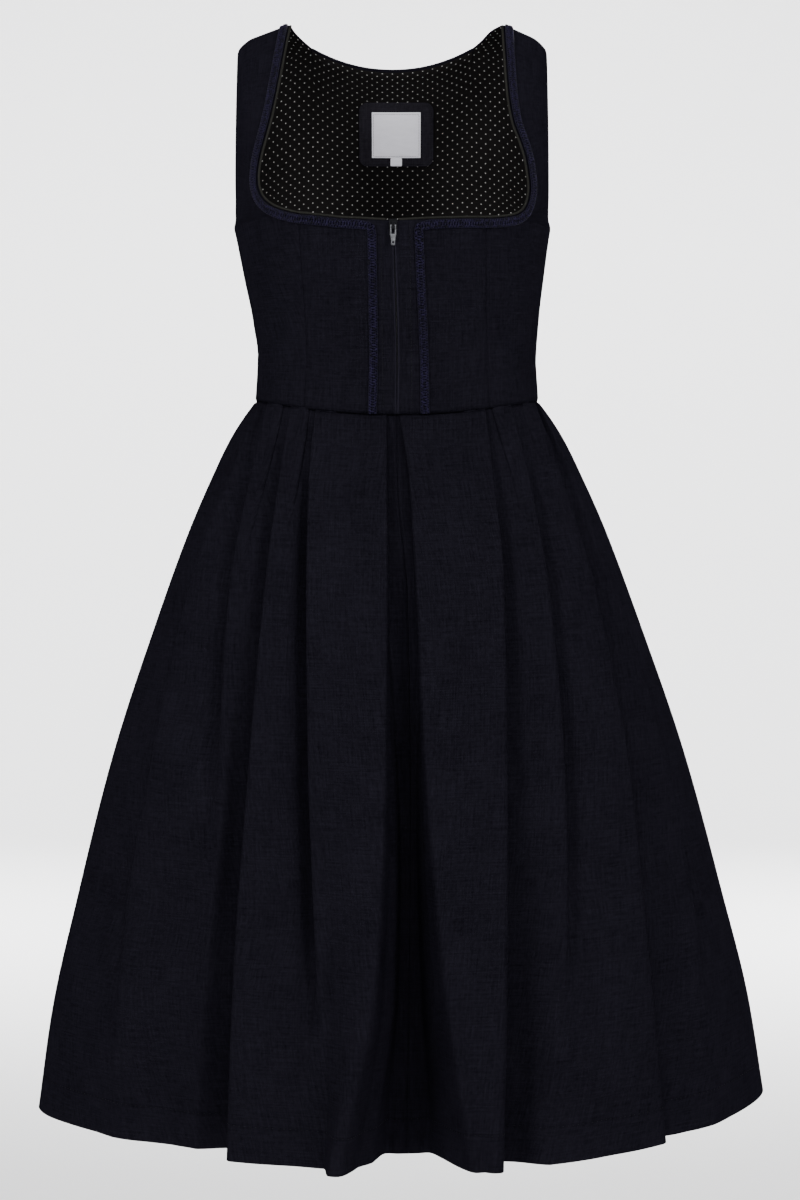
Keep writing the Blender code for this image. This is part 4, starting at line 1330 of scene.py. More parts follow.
@dataclass
class SkirtForm:
    """The skirt as rings that widen to the hem, folded inwards at each pleat."""

    hem_seam = 0.651

    cloth: float = 0.0012
    seam_gap: float = 0.0003
    waist_z: float = -0.3630
    waist_dip: float = 0.0170
    back_dip: float = 0.3
    hem_z: float = -1.0455
    hem_lift: float = 0.0060
    hem_tilt: float = 0.0170
    shift: float = 0.0045
    left_narrowing: float = 0.022
    layer: float = 0.0026
    # share of the length, half width, front depth, back depth, roundness
    rings: tuple = (
        (0.000, 0.1350, 0.0830, 0.0800, 2.25),
        (0.025, 0.1474, 0.0960, 0.0915, 2.25),
        (0.055, 0.1600, 0.1090, 0.1040, 2.20),
        (0.100, 0.1750, 0.1250, 0.1190, 2.15),
        (0.180, 0.1990, 0.1500, 0.1430, 2.10),
        (0.310, 0.2317, 0.1835, 0.1760, 2.00),
        (0.500, 0.2750, 0.2280, 0.2180, 1.90),
        (0.700, 0.3107, 0.2650, 0.2530, 1.82),
        (0.860, 0.3365, 0.2900, 0.2760, 1.78),
        (1.000, 0.3510, 0.3060, 0.2900, 1.75),
    )
    levels: tuple = (0.0, 0.10, 0.25, 0.50, 0.75, 1.0)
    seam: tuple = (0.0, 0.001, 0.0105, 0.0150, 0.0170, 0.0180)
    front: dict = field(default_factory=lambda: {
        Side.RIGHT: (
            Pleat((0.0030, 0.0120, 0.0175, 0.0245, 0.0380, 0.0620), 0.020, -0.006, 0.000, 0.100),
            Pleat((0.0830, 0.0900, 0.0980, 0.0990, 0.0975, 0.0925), 0.022, 0.006, -0.006, 0.034),
            Pleat((0.1080, 0.1235, 0.1400, 0.1530, 0.1560, 0.1500), 0.020, 0.003, 0.006, 0.016, -1, 0.74),
            Pleat((0.1310, 0.1540, 0.1830, 0.2155, 0.2320, 0.2480), 0.020, 0.004, 0.006, 0.024),
            Pleat((0.1345, 0.1700, 0.2060, 0.2560, 0.2870, 0.3080), 0.006, 0.003, 0.010, 0.022, 0.30, 0.78),
        ),
        Side.LEFT: (
            Pleat((0.0095, 0.0090, 0.0080, 0.0080, 0.0135, 0.0420), 0.020, -0.014, -0.010, 0.100),
            Pleat(
                (0.0765, 0.0815, 0.0835, 0.0820, 0.0780, 0.0840), 0.022, 0.004, 0.020, 0.030,
                -1, 0.80, 0.016,
            ),
            Pleat((0.1000, 0.1100, 0.1230, 0.1390, 0.1542, 0.1640), 0.020, 0.012, 0.014, 0.064),
            Pleat((0.1230, 0.1380, 0.1600, 0.1760, 0.2030, 0.2200), 0.020, 0.004, 0.040, 0.046, -1, 0.52),
            Pleat((0.1340, 0.1640, 0.1980, 0.2380, 0.2700, 0.2900), 0.006, 0.004, 0.022, 0.040, 0.20, 0.80),
        ),
    })
    # share of the half width at which each pleat of the back stands, and its valley
    back: dict = field(default_factory=lambda: {
        Side.RIGHT: ((0.10, 0.085), (0.37, 0.046), (0.62, 0.050), (0.84, 0.036)),
        Side.LEFT: ((0.11, 0.085), (0.34, 0.050), (0.60, 0.044), (0.85, 0.040)),
    })
    # Soft folds between the pleats: places are x and share of the length.
    creases: tuple = (
        Crease(Face.FRONT, (-0.045, 0.02), (-0.052, 0.60), 0.003, 0.0090, 0.0016),
        Crease(Face.FRONT, (-0.060, 0.30), (-0.100, 1.10), -0.004, 0.0160, 0.0030),
        Crease(Face.FRONT, (-0.020, 0.45), (-0.060, 1.15), 0.004, 0.0180, -0.0024),
        Crease(Face.FRONT, (-0.105, 0.18), (-0.128, 0.85), 0.003, 0.0110, -0.0022),
        Crease(Face.FRONT, (-0.170, 0.35), (-0.215, 1.10), 0.004, 0.0150, 0.0032),
        Crease(Face.FRONT, (-0.150, 0.10), (-0.200, 0.62), -0.004, 0.0100, 0.0018),
        Crease(Face.FRONT, (-0.235, 0.50), (-0.275, 1.12), 0.004, 0.0150, -0.0026),
        Crease(Face.FRONT, (0.040, 0.04), (0.052, 0.55), -0.003, 0.0095, 0.0016),
        Crease(Face.FRONT, (0.070, 0.32), (0.076, 1.12), 0.004, 0.0150, 0.0028),
        Crease(Face.FRONT, (0.060, 0.55), (0.088, 1.15), -0.003, 0.0140, -0.0020),
        Crease(Face.FRONT, (0.120, 0.25), (0.135, 1.05), 0.003, 0.0140, 0.0026),
        Crease(Face.FRONT, (0.170, 0.14), (0.205, 0.78), -0.004, 0.0110, -0.0020),
        Crease(Face.FRONT, (0.180, 0.50), (0.200, 1.12), 0.004, 0.0170, 0.0030),
        Crease(Face.FRONT, (0.245, 0.45), (0.272, 1.10), 0.004, 0.0140, 0.0024),
        Crease(Face.BACK, (-0.060, 0.06), (-0.075, 0.70), 0.003, 0.0110, 0.0022),
        Crease(Face.BACK, (-0.120, 0.30), (-0.150, 1.10), -0.004, 0.0160, 0.0032),
        Crease(Face.BACK, (-0.190, 0.25), (-0.235, 0.95), 0.004, 0.0130, -0.0024),
        Crease(Face.BACK, (-0.235, 0.45), (-0.285, 1.12), 0.004, 0.0150, 0.0028),
        Crease(Face.BACK, (0.055, 0.08), (0.066, 0.62), -0.003, 0.0105, 0.0020),
        Crease(Face.BACK, (0.105, 0.35), (0.122, 1.12), 0.004, 0.0160, 0.0030),
        Crease(Face.BACK, (0.175, 0.22), (0.215, 0.90), -0.004, 0.0130, -0.0022),
        Crease(Face.BACK, (0.225, 0.50), (0.262, 1.12), 0.004, 0.0150, 0.0026),
    )

    def __post_init__(self) -> None:
        """Turns the ring table into smooth lines."""
        rows = np.array(self.rings)
        lines = [Curve(rows[:, 0], rows[:, i]) for i in range(1, 5)]
        self.half_width, self.front_depth, self.back_depth, self.roundness = lines

    def traced(self, edge: Sequence[float], level: float) -> float:
        """Where a pleat's edge lies at a level."""
        return float(Curve(self.levels, edge)(level))

    def sinking(self, level: float) -> float:
        """Share of the centre pleat's depth that is reached at a level."""
        return level**1.4 + 0.06 * float(ease(level / 0.05)) * (1 - level) ** 2


@dataclass
class Ring:
    """The skirt's outline at one level, measured along itself from the centre."""

    form: SkirtForm
    level: float
    face: Face

    def __post_init__(self) -> None:
        """Traces a quarter of the outline."""
        form, back = self.form, self.face is Face.BACK
        width = float(form.half_width(self.level))
        depth = float((form.back_depth if back else form.front_depth)(self.level))
        power = 2 / float(form.roundness(self.level))
        turn = np.linspace(0, 1, 241)
        angle = np.pi / 2 * (turn - np.sin(2 * np.pi * turn) / (2 * np.pi))
        self.cosine = np.cos(angle)
        self.x = width * np.sin(angle) ** power
        self.y = depth * np.maximum(0.0, self.cosine) ** power * self.face.value
        steps = np.hypot(np.diff(self.x), np.diff(self.y))
        self.s = np.concatenate([[0.0], np.cumsum(steps)])
        self.length = float(self.s[-1])

    def reach(self, x: float) -> float:
        """Distance from the centre to the point at this x."""
        return float(np.interp(x, self.x, self.s))

    def points(self, s: np.ndarray, inward: np.ndarray, side: Side) -> np.ndarray:
        """World places of points of the folded cloth.

        Args:
            s: Distance from the centre along the outline.
            inward: How far inside the outline.
            side: Left or right.

        Returns:
            One place for each distance.
        """
        form, back = self.form, self.face is Face.BACK
        flip = np.where(s >= 0, 1.0, -1.0)
        s = np.minimum(np.abs(s), self.length)
        x = np.interp(s, self.s, self.x)
        y = np.interp(s, self.s, self.y)
        step = 0.004
        ahead = np.minimum(self.length, s + step)
        behind = np.maximum(0.0, s - step)
        run_x = np.interp(ahead, self.s, self.x) - np.interp(behind, self.s, self.x)
        run_y = np.interp(ahead, self.s, self.y) - np.interp(behind, self.s, self.y)
        size = np.maximum(1e-6, np.hypot(run_x, run_y))
        run_y = np.where(s < step, run_y * s / step / size, run_y)
        run_x = np.where(s < step, 1.0, run_x)
        size = np.hypot(run_x, run_y)
        sign = self.face.value
        normal_x, normal_y = -sign * run_y / size, sign * run_x / size
        for crease in form.creases:
            if crease.face is self.face:
                inward = inward - crease.at(x * flip * side.value, np.full(x.shape, self.level))
        x = x - normal_x * inward
        y = y - normal_y * inward
        cosine = np.interp(s, self.s, self.cosine) ** 2
        dip = form.waist_dip * cosine * (form.back_dip if back else 1.0)
        waist = form.waist_z - dip - form.seam_gap
        world_x = side.value * flip * x
        world_x = np.where(world_x < 0, world_x * (1 - form.left_narrowing * self.level), world_x)
        hem = form.hem_z + form.hem_lift * (1 - cosine)
        hem = hem + form.hem_tilt * np.maximum(0.0, world_x / form.rings[-1][1]) ** 4
        z = waist + (hem - waist) * self.level
        return np.stack([world_x + form.shift, y, z], axis=-1)

    def standing(self, first: float, last: float) -> float:
        """1 where a pleat stands, and 0 where it has faded into the cloth."""
        return float(
            ease((self.level - first) / 0.26 + 0.5) * ease((last - self.level) / 0.30 + 0.5)
        )

    def fold(self, pleat: Pleat, before: float, after: float, centre: bool) -> list:
        """Turning points of one pleat: panel edge, turn under, turn out again.

        Args:
            pleat: The pleat.
            before: Where the neighbour towards the centre has its edge.
            after: Where the neighbour away from the centre has its edge.
            centre: Whether it is half of the inverted pleat.

        Returns:
            Distance and depth of each turning point.
        """
        level, layer = self.level, self.form.layer
        edge = self.reach(self.form.traced(pleat.edge, level))
        room = 0.05 if centre else max(0.002, edge - before)
        opened = (1 - level) ** 2.2
        tuck = min(pleat.tuck_waist * opened + pleat.tuck_hem * (1 - opened), 0.70 * room)
        growth = level**1.4
        crest = pleat.crest * growth
        valley = crest + 2 * layer
        deepening = self.form.sinking(level) if centre else growth
        valley += max(0.0, pleat.valley - pleat.crest - 2 * layer) * deepening
        turn = min(0.0012 + (0.0055 if centre else 0.0070) * level**1.5, 0.16 * room)
        small = min(turn, max(tuck / 2 - 0.0002, -0.002))
        slack = 0.09 * min(1.0, max(0.0, (2 * turn - tuck) / (2 * turn)))
        offsets = [
            (-2.2 * turn, 0.0), (-turn, 0.0), (0.0, 0.25), (-small, 0.5 - slack),
            (-tuck + small, 0.5 + slack), (-tuck, 0.75), (-tuck + turn, 1.0),
        ]
        dips = [0.0] * len(offsets)
        if centre:
            offsets = [(-s, d) for s, d in offsets[::-1]]
        else:
            wide = min(0.015, 0.30 * (after - edge))
            offsets += [(0.004 + turn, 1.0), (0.004 + turn + wide, 1.0)]
            dip = pleat.hollow * float(ease(level / 0.22))
            dips[-1] = dip
            dips += [dip, 0.0]
        shown = self.standing(pleat.first, pleat.last)
        spread = min(0.016, 0.42 * min(edge - before, after - edge))
        last = len(offsets) - 1
        made = []
        for i, ((s, depth), dip) in enumerate(zip(offsets, dips)):
            s = s * shown + spread * (2 * i / last - 1) * (1 - shown)
            made.append((edge + s, crest + ((valley - crest) * depth + dip * shown) * shown))
        return made

    def path(self, side: Side) -> np.ndarray:
        """Turning points of one half, from the centre to the side seam."""
        form = self.form
        if self.face is Face.BACK:
            width = float(form.half_width(self.level))
            pleats = []
            for i, (share, valley) in enumerate(form.back[side]):
                reach = (share + (0.02 if i else 0.06) * self.level) * 0.985 * width
                edge = (reach,) * len(form.levels)
                pleats.append(Pleat(edge, 0.020, 0.004 if i else -0.012, 0.0, valley))
            start = 0.0
        else:
            pleats = form.front[side]
            start = side.value * form.traced(form.seam, self.level)
        edges = [self.reach(form.traced(pleat.edge, self.level)) for pleat in pleats]
        edges = [start] + edges + [self.length]
        path = []
        for i, pleat in enumerate(pleats):
            points = self.fold(pleat, edges[i], edges[i + 2], i == 0)
            if i == 0:
                reach, floor = points[0]
                path += [(start, floor), (start + (reach - start) * 0.5, floor)]
            else:
                path += self.between(path[-1], points[0])
            path += points
        path += self.between(path[-1], (self.length, 0.0))
        path.append((self.length, 0.0))
        return np.array(path)

    def between(self, first: tuple, second: tuple) -> list:
        """Points of the panel that rises from a valley to the next pleat's edge."""
        made = []
        for t in (1 / 3, 2 / 3):
            rise = 0.5 * t + 0.5 * float(ease(t))
            made.append((
                first[0] + (second[0] - first[0]) * t, first[1] + (second[1] - first[1]) * rise
            ))
        return made


@dataclass
class Skirt:
    """The four quarters of the skirt."""

    form: SkirtForm
    looks: Wardrobe
    rows: int = 84
    step: float = 0.0045
    length: float = 0.683
    front_cut: tuple = (0.640, 0.720)
    front_area: float = 0.340
    back_cut: tuple = (0.620, 0.720)
    back_area: float = 0.340
    waist_roll: tuple = (0.0011, 0.0012)
    # how much of its depth the turned-in cloth rises at the waist, and down to which share
    waist_lift: tuple = (0.45, 0.012)
    stitch: Stitch = Stitch(0.0013, 0.0052, 0.00018)
    stitch_ends: tuple = (0.004, 0.003)

    def build(self) -> None:
        """Builds every quarter and the stitches of its hem."""
        for side in Side:
            for face in Face:
                self.quarter(side, face)
                self.hem_stitches(side, face)

    def hem_stitches(self, side: Side, face: Face) -> None:
        """Small prick stitches that hold the turned-up hem."""
        level = self.form.hem_seam / self.length
        rows = self.grid(side, face, np.array((level + 0.002, level, level - 0.002)))
        if (side is Side.LEFT) != (face is Face.BACK):
            rows = rows[:, ::-1]
        walked = along(rows[1], 0)
        first, last = self.stitch_ends
        spots = np.arange(first, walked[-1] - last, self.stitch.pitch)
        middles = sampled(rows[1], walked, spots)
        outs = unit(sampled(grid_normals(rows)[1], walked, spots))
        ways = unit(np.gradient(middles, axis=0))
        middles = middles + outs * (self.form.cloth / 2)
        name = f"hem_stitches_{face.word}_{side.word}"
        piece = self.stitch.sew(name, middles, ways, outs, self.looks.thread)
        register(piece, GARMENT)

    def grid(self, side: Side, face: Face, levels: np.ndarray) -> np.ndarray:
        """Points of a quarter, columns from the centre to the side seam.

        Args:
            side: Left or right.
            face: Front or back.
            levels: Shares of the length.

        Returns:
            One row for each level.
        """
        middle = Ring(self.form, 0.6, face).path(side)
        gaps = np.linalg.norm(np.diff(middle, axis=0), axis=1)
        counts = np.clip(np.ceil(gaps / self.step), 3, 12).astype(int)
        lift, lowest = self.waist_lift
        made = []
        for level in levels:
            ring = Ring(self.form, float(level), face)
            path = through(ring.path(side), counts)
            points = ring.points(path[:, 0], path[:, 1], side)
            if face is Face.FRONT:
                points[:, 2] += lift * path[:, 1] * max(0.0, 1 - level / lowest)
            made.append(points)
        return np.array(made)

    def quarter(self, side: Side, face: Face) -> None:
        """One quarter, from the hem up."""
        levels = np.linspace(0, 1, self.rows + 1) ** 1.3
        levels = np.concatenate([levels[:-1], [0.994, 0.998, 1.0]])
        grid = self.grid(side, face, levels[::-1])
        across = along(grid, 1)
        down = np.broadcast_to((levels[::-1] * self.length)[:, None], across.shape)
        uv = np.stack([across, down], -1)
        if (side is Side.LEFT) != (face is Face.BACK):
            grid, uv = grid[:, ::-1], uv[:, ::-1]
        grid = rolled(grid, ["high"], *self.waist_roll)
        name = f"skirt_{face.word}_{side.word}"
        thick = self.form.cloth
        piece = Sheet(f"{name}_cloth", [grid], [uv], self.looks.skirt, thick=thick).build()
        register(piece, GARMENT, [name])


# ------------------------------------------------------------------ trims
class Track:
    """A path on the outside of the bodice's front, with its sideways and outward ways."""

    def __init__(self, form: BodiceForm, line: np.ndarray, step: float = 0.0006) -> None:
        """Lays the path on the cloth in even steps.

        Args:
            form: The bodice.
            line: World x and z of its points.
            step: Distance between points.
        """
        rough = form.point(*form.place_of(*line.T, Face.FRONT).T, Face.FRONT)
        walked = along(rough, 0)
        even = np.linspace(0, walked[-1], max(3, int(walked[-1] / step)))
        x, z = sampled(line, walked, even).T
        shares = form.place_of(x, z, Face.FRONT)[:, 1]
        places = form.place_of(x - form.lean(shares), z, Face.FRONT).T
        self.points = form.dressed(*places, Face.FRONT)
        self.out = form.outward(*places, Face.FRONT)
        self.beside = unit(np.cross(self.out, unit(np.gradient(self.points, axis=0))))
        self.s = along(self.points, 0)
        self.length = float(self.s[-1])

    def at(self, s: np.ndarray, across: np.ndarray, out: np.ndarray) -> np.ndarray:
        """World places beside and above the path.

        Args:
            s: Distance along it.
            across: Distance to its left.
            out: Distance off the middle of the cloth.

        Returns:
            One place for each distance.
        """
        return (
            self.follow(self.points, s)
            + self.follow(self.beside, s) * np.asarray(across)[..., None]
            + self.follow(self.out, s) * np.asarray(out)[..., None]
        )

    def follow(self, values: np.ndarray, s: np.ndarray) -> np.ndarray:
        """Values along the path, at these distances."""
        return sampled(values, self.s, s)


@dataclass
class NeckTrims:
    """Piping on the neckline's edge, and the plaited gimp braid beside it."""

    form: BodiceForm
    looks: Wardrobe
    piping_radius: float = 0.0011
    piping_step: float = 0.0012
    braid_edge: float = 0.0008
    width: float = 0.0085
    wave: float = 0.0050
    sway: float = 0.0033
    yarn: float = 0.00052
    lift: float = 0.00030
    cord: float = 0.00046
    gap: float = 0.0004
    ground_thick: float = 0.0007
    straight: tuple = (-1, -0.42, 0, 0.42, 1)
    # for the ground, the straight cords and the zigzag: height over the braid's foot, and step
    heights: tuple = (0.0004, 0.0008, 0.0014)
    steps: tuple = (0.0010, 0.0013, 0.00040)
    foot_z: float = -0.3795
    corner_round: float = 0.0045
    leg_x: dict = field(default_factory=lambda: {
        Side.LEFT: (0.0186, 0.0226), Side.RIGHT: (0.0243, 0.0261)
    })

    def build(self) -> None:
        """Builds the trims of both sides."""
        for side in Side:
            self.piping(side)
            self.braid(side)

    def edge(self, side: Side, lay: Callable) -> tuple[np.ndarray, np.ndarray]:
        """The front neckline's edge.

        Args:
            side: Left or right.
            lay: Turns places on the form into points.

        Returns:
            Its points, and at each the unit way across the cloth.
        """
        places = self.form.neckline(side).T
        points = lay(*places, Face.FRONT)
        out = self.form.outward(*places, Face.FRONT)
        return points, unit(np.cross(out, np.gradient(points, axis=0))) * side.value

    def piping(self, side: Side) -> None:
        """The round grey edge of the front neckline."""
        points, beside = self.edge(side, self.form.dressed)
        line = points - beside * self.piping_radius
        walked = along(line, 0)
        even = np.linspace(0, walked[-1], int(walked[-1] / self.piping_step))
        line = sampled(line, walked, even)
        name = f"piping_{side.word}"
        up = np.array((0.0, -1.0, 0.05))
        piece = tubes(f"{name}_cord", [line], self.piping_radius, 12, self.looks.piping, [up])
        register(piece, GARMENT, [name])

    def route(self, side: Side) -> np.ndarray:
        """World x and z of the braid's middle, its corner rounded."""
        form, sign, soft = self.form, side.value, self.corner_round
        top_x, waist_x = self.leg_x[side]
        points, beside = self.edge(side, form.point)
        reach = self.braid_edge + self.width / 2
        middle = points + beside * reach
        middle = middle[np.abs(points[:, 0]) > top_x + 0.010]
        top_z = form.neck_bottom[side][0][1] - reach
        corner = np.array((sign * top_x, top_z))
        arrive = np.array((sign * (top_x + soft), top_z + 0.0003))
        leave = np.array((sign * (top_x + 0.0002), top_z - soft))
        t = np.linspace(0, 1, 9)[:, None]
        bend = arrive * (1 - t) ** 2 + corner * 2 * t * (1 - t) + leave * t**2
        z = np.linspace(top_z - 0.006, self.foot_z, 40)
        share = (z - z[-1]) / (z[0] - z[-1])
        shift = form.lean(share * 0.6)
        leg_x = sign * (waist_x + (top_x - waist_x) * share) + shift
        leg = np.stack([leg_x, z], -1)
        return np.vstack([middle[:, [0, 2]], bend, leg])

    def braid(self, side: Side) -> None:
        """The braid: a woven ground, five straight cords and two zigzag cords over them."""
        track = Track(self.form, self.route(side))
        base = self.form.cloth / 2 + self.gap
        ground_z, straight_z, zigzag_z = (base + height for height in self.heights)
        s, rough, fine = (
            np.linspace(0, track.length, int(track.length / step)) for step in self.steps
        )
        across = np.linspace(-1, 1, 5) * (self.width / 2 - 0.0006)
        over, down = np.meshgrid(across, s)
        grid = track.at(down, over, np.full(down.shape, ground_z))
        uv = np.stack([over, down], -1)
        ground = Sheet(
            f"braid_{side.word}_ground", [grid[::-1]], [uv[::-1]], self.looks.braid_ground,
            thick=self.ground_thick,
        ).build()
        wide = self.width / 2 - self.cord
        zero = 0 * rough
        # The straight cords take the darker copy of the gimp yarn, painted shade under the zigzag.
        fillers = self.cords(
            f"braid_{side.word}_fillers", track, rough,
            [(away * wide + zero, straight_z + zero) for away in self.straight],
            self.looks.braid_dark,
        )
        turn = fine / self.wave * 2 * np.pi
        zigzag = self.cords(
            f"braid_{side.word}_zigzag", track, fine,
            [
                (way * self.sway * np.sin(turn), zigzag_z + way * self.lift * np.cos(turn))
                for way in (-1, 1)
            ],
            self.looks.braid,
        )
        for piece in (ground, fillers, zigzag):
            register(piece, GARMENT, [f"braid_{side.word}"])

    def cords(
        self, name: str, track: Track, s: np.ndarray, paths: Sequence[tuple],
        look: bpy.types.Material,
    ) -> bpy.types.Object:
        """Cords that follow the braid.

        Args:
            name: The piece's name.
            track: The braid's path.
            s: Distances along it.
            paths: For each cord, its distance across and off the cloth.
            look: Their material.

        Returns:
            The finished piece.
        """
        lines = [track.at(s, across, out) for across, out in paths]
        ups = [track.follow(track.out, s)] * len(lines)
        radius = self.yarn if look is self.looks.braid else self.cord
        return tubes(name, lines, radius, 6, look, ups)


@dataclass
class FrontZip:
    """The zip's tape, its chain, and the stitching that holds it."""

    bodice: BodiceForm
    skirt: SkirtForm
    looks: Wardrobe
    tape_width: float = 0.024
    skirt_share: float = 0.29
    lining_cloth: float = 0.0010
    seam_gap: float = 0.0003
    tape_gap: float = 0.0004
    tape_thick: float = 0.0009
    tooth: tuple = (0.00175, 0.0011, 0.00075)
    tooth_bevel: float = 0.00018
    tooth_shift: float = 0.00055
    pitch: float = 0.0013
    chain_out: float = 0.0004
    chain_top_z: float = -0.2130
    stitch_x: tuple = (-0.0102, 0.0165)
    stitch_z: tuple = (-0.2068, -0.3770)
    stitch_drift: float = 0.0022
    stitch: Stitch = Stitch(0.0024, 0.0033, 0.00020)
    pull_place: tuple = (0.0012, -0.1233, -0.2085)
    pull_thick: float = 0.0012
    pull_bevel: float = 0.00022
    pull_soft: float = math.radians(35)
    # each hole's distance below the pull's top, then the window's sizes and the eye's radius
    window_drop: float = 0.0048
    window: tuple = (0.0031, 0.01, 0.0072)
    eye_drop: float = 0.0162
    eye_radius: float = 0.00112
    # height and width of each stretch of the pull, from its top down
    pull_rows: tuple = (
        (0.0006, 0.0052), (0.0084, 0.0057), (0.0012, 0.0048), (0.0050, 0.0034),
        (0.0018, 0.0036), (0.0013, 0.0036), (0.0007, 0.0024),
    )

    def build(self) -> None:
        """Builds the tape, the chain, the stitches and the pull."""
        self.tape()
        self.chain()
        self.stitching()
        self.pull()

    def pull(self) -> None:
        """The tapered pull tab, with the window that hangs on the slider and a small eye."""
        x, y, z = self.pull_place
        height, width = self.pull_rows[0]
        bpy.ops.object.select_all(action="DESELECT")
        bpy.ops.mesh.primitive_cube_add(size=1.0, location=(x, y, z - height / 2))
        tab = bpy.context.object
        tab.name = "zip_pull_tab"
        tab.data.name = "zip_pull_tab"
        bpy.ops.object.mode_set(mode="EDIT")
        bpy.ops.mesh.select_all(action="SELECT")
        bpy.ops.transform.resize(value=(width, self.pull_thick, height))
        bpy.ops.mesh.select_all(action="DESELECT")
        bpy.ops.object.mode_set(mode="OBJECT")
        lowest = min(tab.data.polygons, key=lambda face: face.center.z)
        lowest.select = True
        bpy.ops.object.mode_set(mode="EDIT")
        bpy.ops.mesh.select_mode(type="FACE")
        for height, wide in self.pull_rows[1:]:
            move = {"value": (0.0, 0.0, -height)}
            bpy.ops.mesh.extrude_region_move(TRANSFORM_OT_translate=move)
            bpy.ops.transform.resize(value=(wide / width, 1.0, 1.0))
            width = wide
        bpy.ops.object.mode_set(mode="OBJECT")
        bpy.ops.mesh.primitive_cube_add(size=1.0, location=(x, y, z - self.window_drop))
        window = bpy.context.object
        window.scale = self.window
        bpy.ops.mesh.primitive_cylinder_add(
            vertices=20, radius=self.eye_radius, depth=0.01, location=(x, y, z - self.eye_drop),
            rotation=(math.pi / 2, 0.0, 0.0),
        )
        eye = bpy.context.object
        for tool in (window, eye):
            cut = tab.modifiers.new("cut", "BOOLEAN")
            cut.object = tool
            cut.solver = "EXACT"
        soft = tab.modifiers.new("soft", "BEVEL")
        soft.width = self.pull_bevel
        soft.segments = 2
        soft.angle_limit = self.pull_soft
        apply_modifiers(tab)
        for tool in (window, eye):
            bpy.data.objects.remove(tool, do_unlink=True)
        tab.select_set(True)
        bpy.ops.object.transform_apply(location=True, rotation=True, scale=True)
        bpy.ops.object.shade_smooth_by_angle(angle=self.pull_soft)
        tab.data.materials.append(self.looks.metal)
        register(tab, "pull_tab", ["zip_pull"])

    def line(self, t: float, extra: float = 0.0) -> tuple[np.ndarray, np.ndarray]:
        """One lengthwise line of the zip, from its foot in the pleat to its top.

        Args:
            t: Place across the tape, from -1 to 1.
            extra: Distance towards the viewer from the tape's middle.

        Returns:
            Points in the skirt, and points in the bodice.
        """
        half = self.tape_width / 2
        inside, layers = self.bodice.cloth / 2, 2 * self.skirt.layer
        deep = layers + self.skirt.cloth / 2
        for gap in (self.seam_gap, self.lining_cloth / 2, self.tape_gap):
            inside += gap
            deep += gap
        low = []
        for level in np.linspace(self.skirt_share, 0.004, 30):
            ring = Ring(self.skirt, float(level), Face.FRONT)
            growth = self.skirt.sinking(float(level))
            deeper = (self.skirt.front[Side.RIGHT][0].valley - layers) * growth
            middle = self.skirt.traced(self.skirt.seam, float(level))
            s = middle + t * half * (1 - 0.5 * level)
            low.append(ring.points(np.array([s]), np.array([deep + deeper - extra]), Side.RIGHT)[0])
        line = np.array(self.bodice.neck_bottom[Side.RIGHT])
        top = float(self.bodice.place_of(line[:1, 0], line[:1, 1], Face.FRONT)[0, 1])
        shares = np.linspace(0.012, top - 0.012, 60)
        slope = np.maximum(0.0, 1 - shares / 0.10)
        depth = inside + (deep - inside) * slope - extra
        x = self.bodice.zip_lean * shares / top + t * half
        angle = self.bodice.angle_of(x, shares)
        plain = self.bodice.point(angle, shares, Face.FRONT)
        high = plain - self.bodice.outward(angle, shares, Face.FRONT) * depth[:, None]
        return np.array(low), high

    def tape(self) -> None:
        """The woven tape behind the front edges and the centre pleat."""
        columns = [np.vstack(self.line(t)) for t in np.linspace(-1, 1, 9)]
        grid = np.stack(columns, axis=1)
        uv = cloth_uv(grid, 4)
        thick = self.tape_thick
        piece = Sheet("zip_tape_cloth", [grid], [uv], self.looks.tape, thick=thick).build()
        register(piece, GARMENT, ["zip_tape"])

    def chain(self) -> None:
        """The closed chain: small eased teeth from both tapes, in turn."""
        bpy.ops.object.select_all(action="DESELECT")
        bpy.ops.mesh.primitive_cube_add(size=1.0, location=(0.0, 0.0, 0.0))
        tooth = bpy.context.object
        bpy.ops.object.mode_set(mode="EDIT")
        bpy.ops.mesh.select_all(action="SELECT")
        bpy.ops.transform.resize(value=self.tooth)
        bpy.ops.mesh.bevel(offset=self.tooth_bevel, segments=1, affect="EDGES")
        bpy.ops.object.mode_set(mode="OBJECT")
        base = np.array([tuple(vert.co) for vert in tooth.data.vertices])
        faces = [list(face.vertices) for face in tooth.data.polygons]
        bpy.data.objects.remove(tooth, do_unlink=True)
        line = np.vstack(self.line(0.0, self.chain_out))
        line = line[line[:, 2] < self.chain_top_z]
        walked = along(line, 0)
        spots = np.arange(0.002, walked[-1], self.pitch / 2)
        points, all_faces = [], []
        for i, spot in enumerate(sampled(line, walked, spots)):
            shift = np.array((self.tooth_shift if i % 2 else -self.tooth_shift, 0.0, 0.0))
            all_faces += [[k + i * len(base) for k in face] for face in faces]
            points.append(base + spot + shift)
        uv = np.vstack(points)[:, [0, 2]]
        piece = mesh_object("zip_chain", np.vstack(points), all_faces, uv)
        piece.data.shade_flat()
        piece.data.materials.append(self.looks.coil)
        register(piece, GARMENT)

    def stitching(self) -> None:
        """Two rows of stitches down the front, one on each side of the zip."""
        for side, x in zip(Side, self.stitch_x):
            z = np.linspace(*self.stitch_z, 60)
            share = (z - z[-1]) / (z[0] - z[-1])
            line = np.stack([x + (1 - share) * self.stitch_drift, z], -1)
            track = Track(self.bodice, line)
            spots = np.arange(0.002, track.length - 0.002, self.stitch.pitch)
            zero = np.zeros(len(spots))
            middles = track.at(spots, zero, zero + self.bodice.cloth / 2)
            ways = unit(np.gradient(track.follow(track.points, spots), axis=0))
            outs = track.follow(track.out, spots)
            name = f"zip_stitches_{side.word}"
            piece = self.stitch.sew(name, middles, ways, outs, self.looks.thread)
            register(piece, GARMENT)


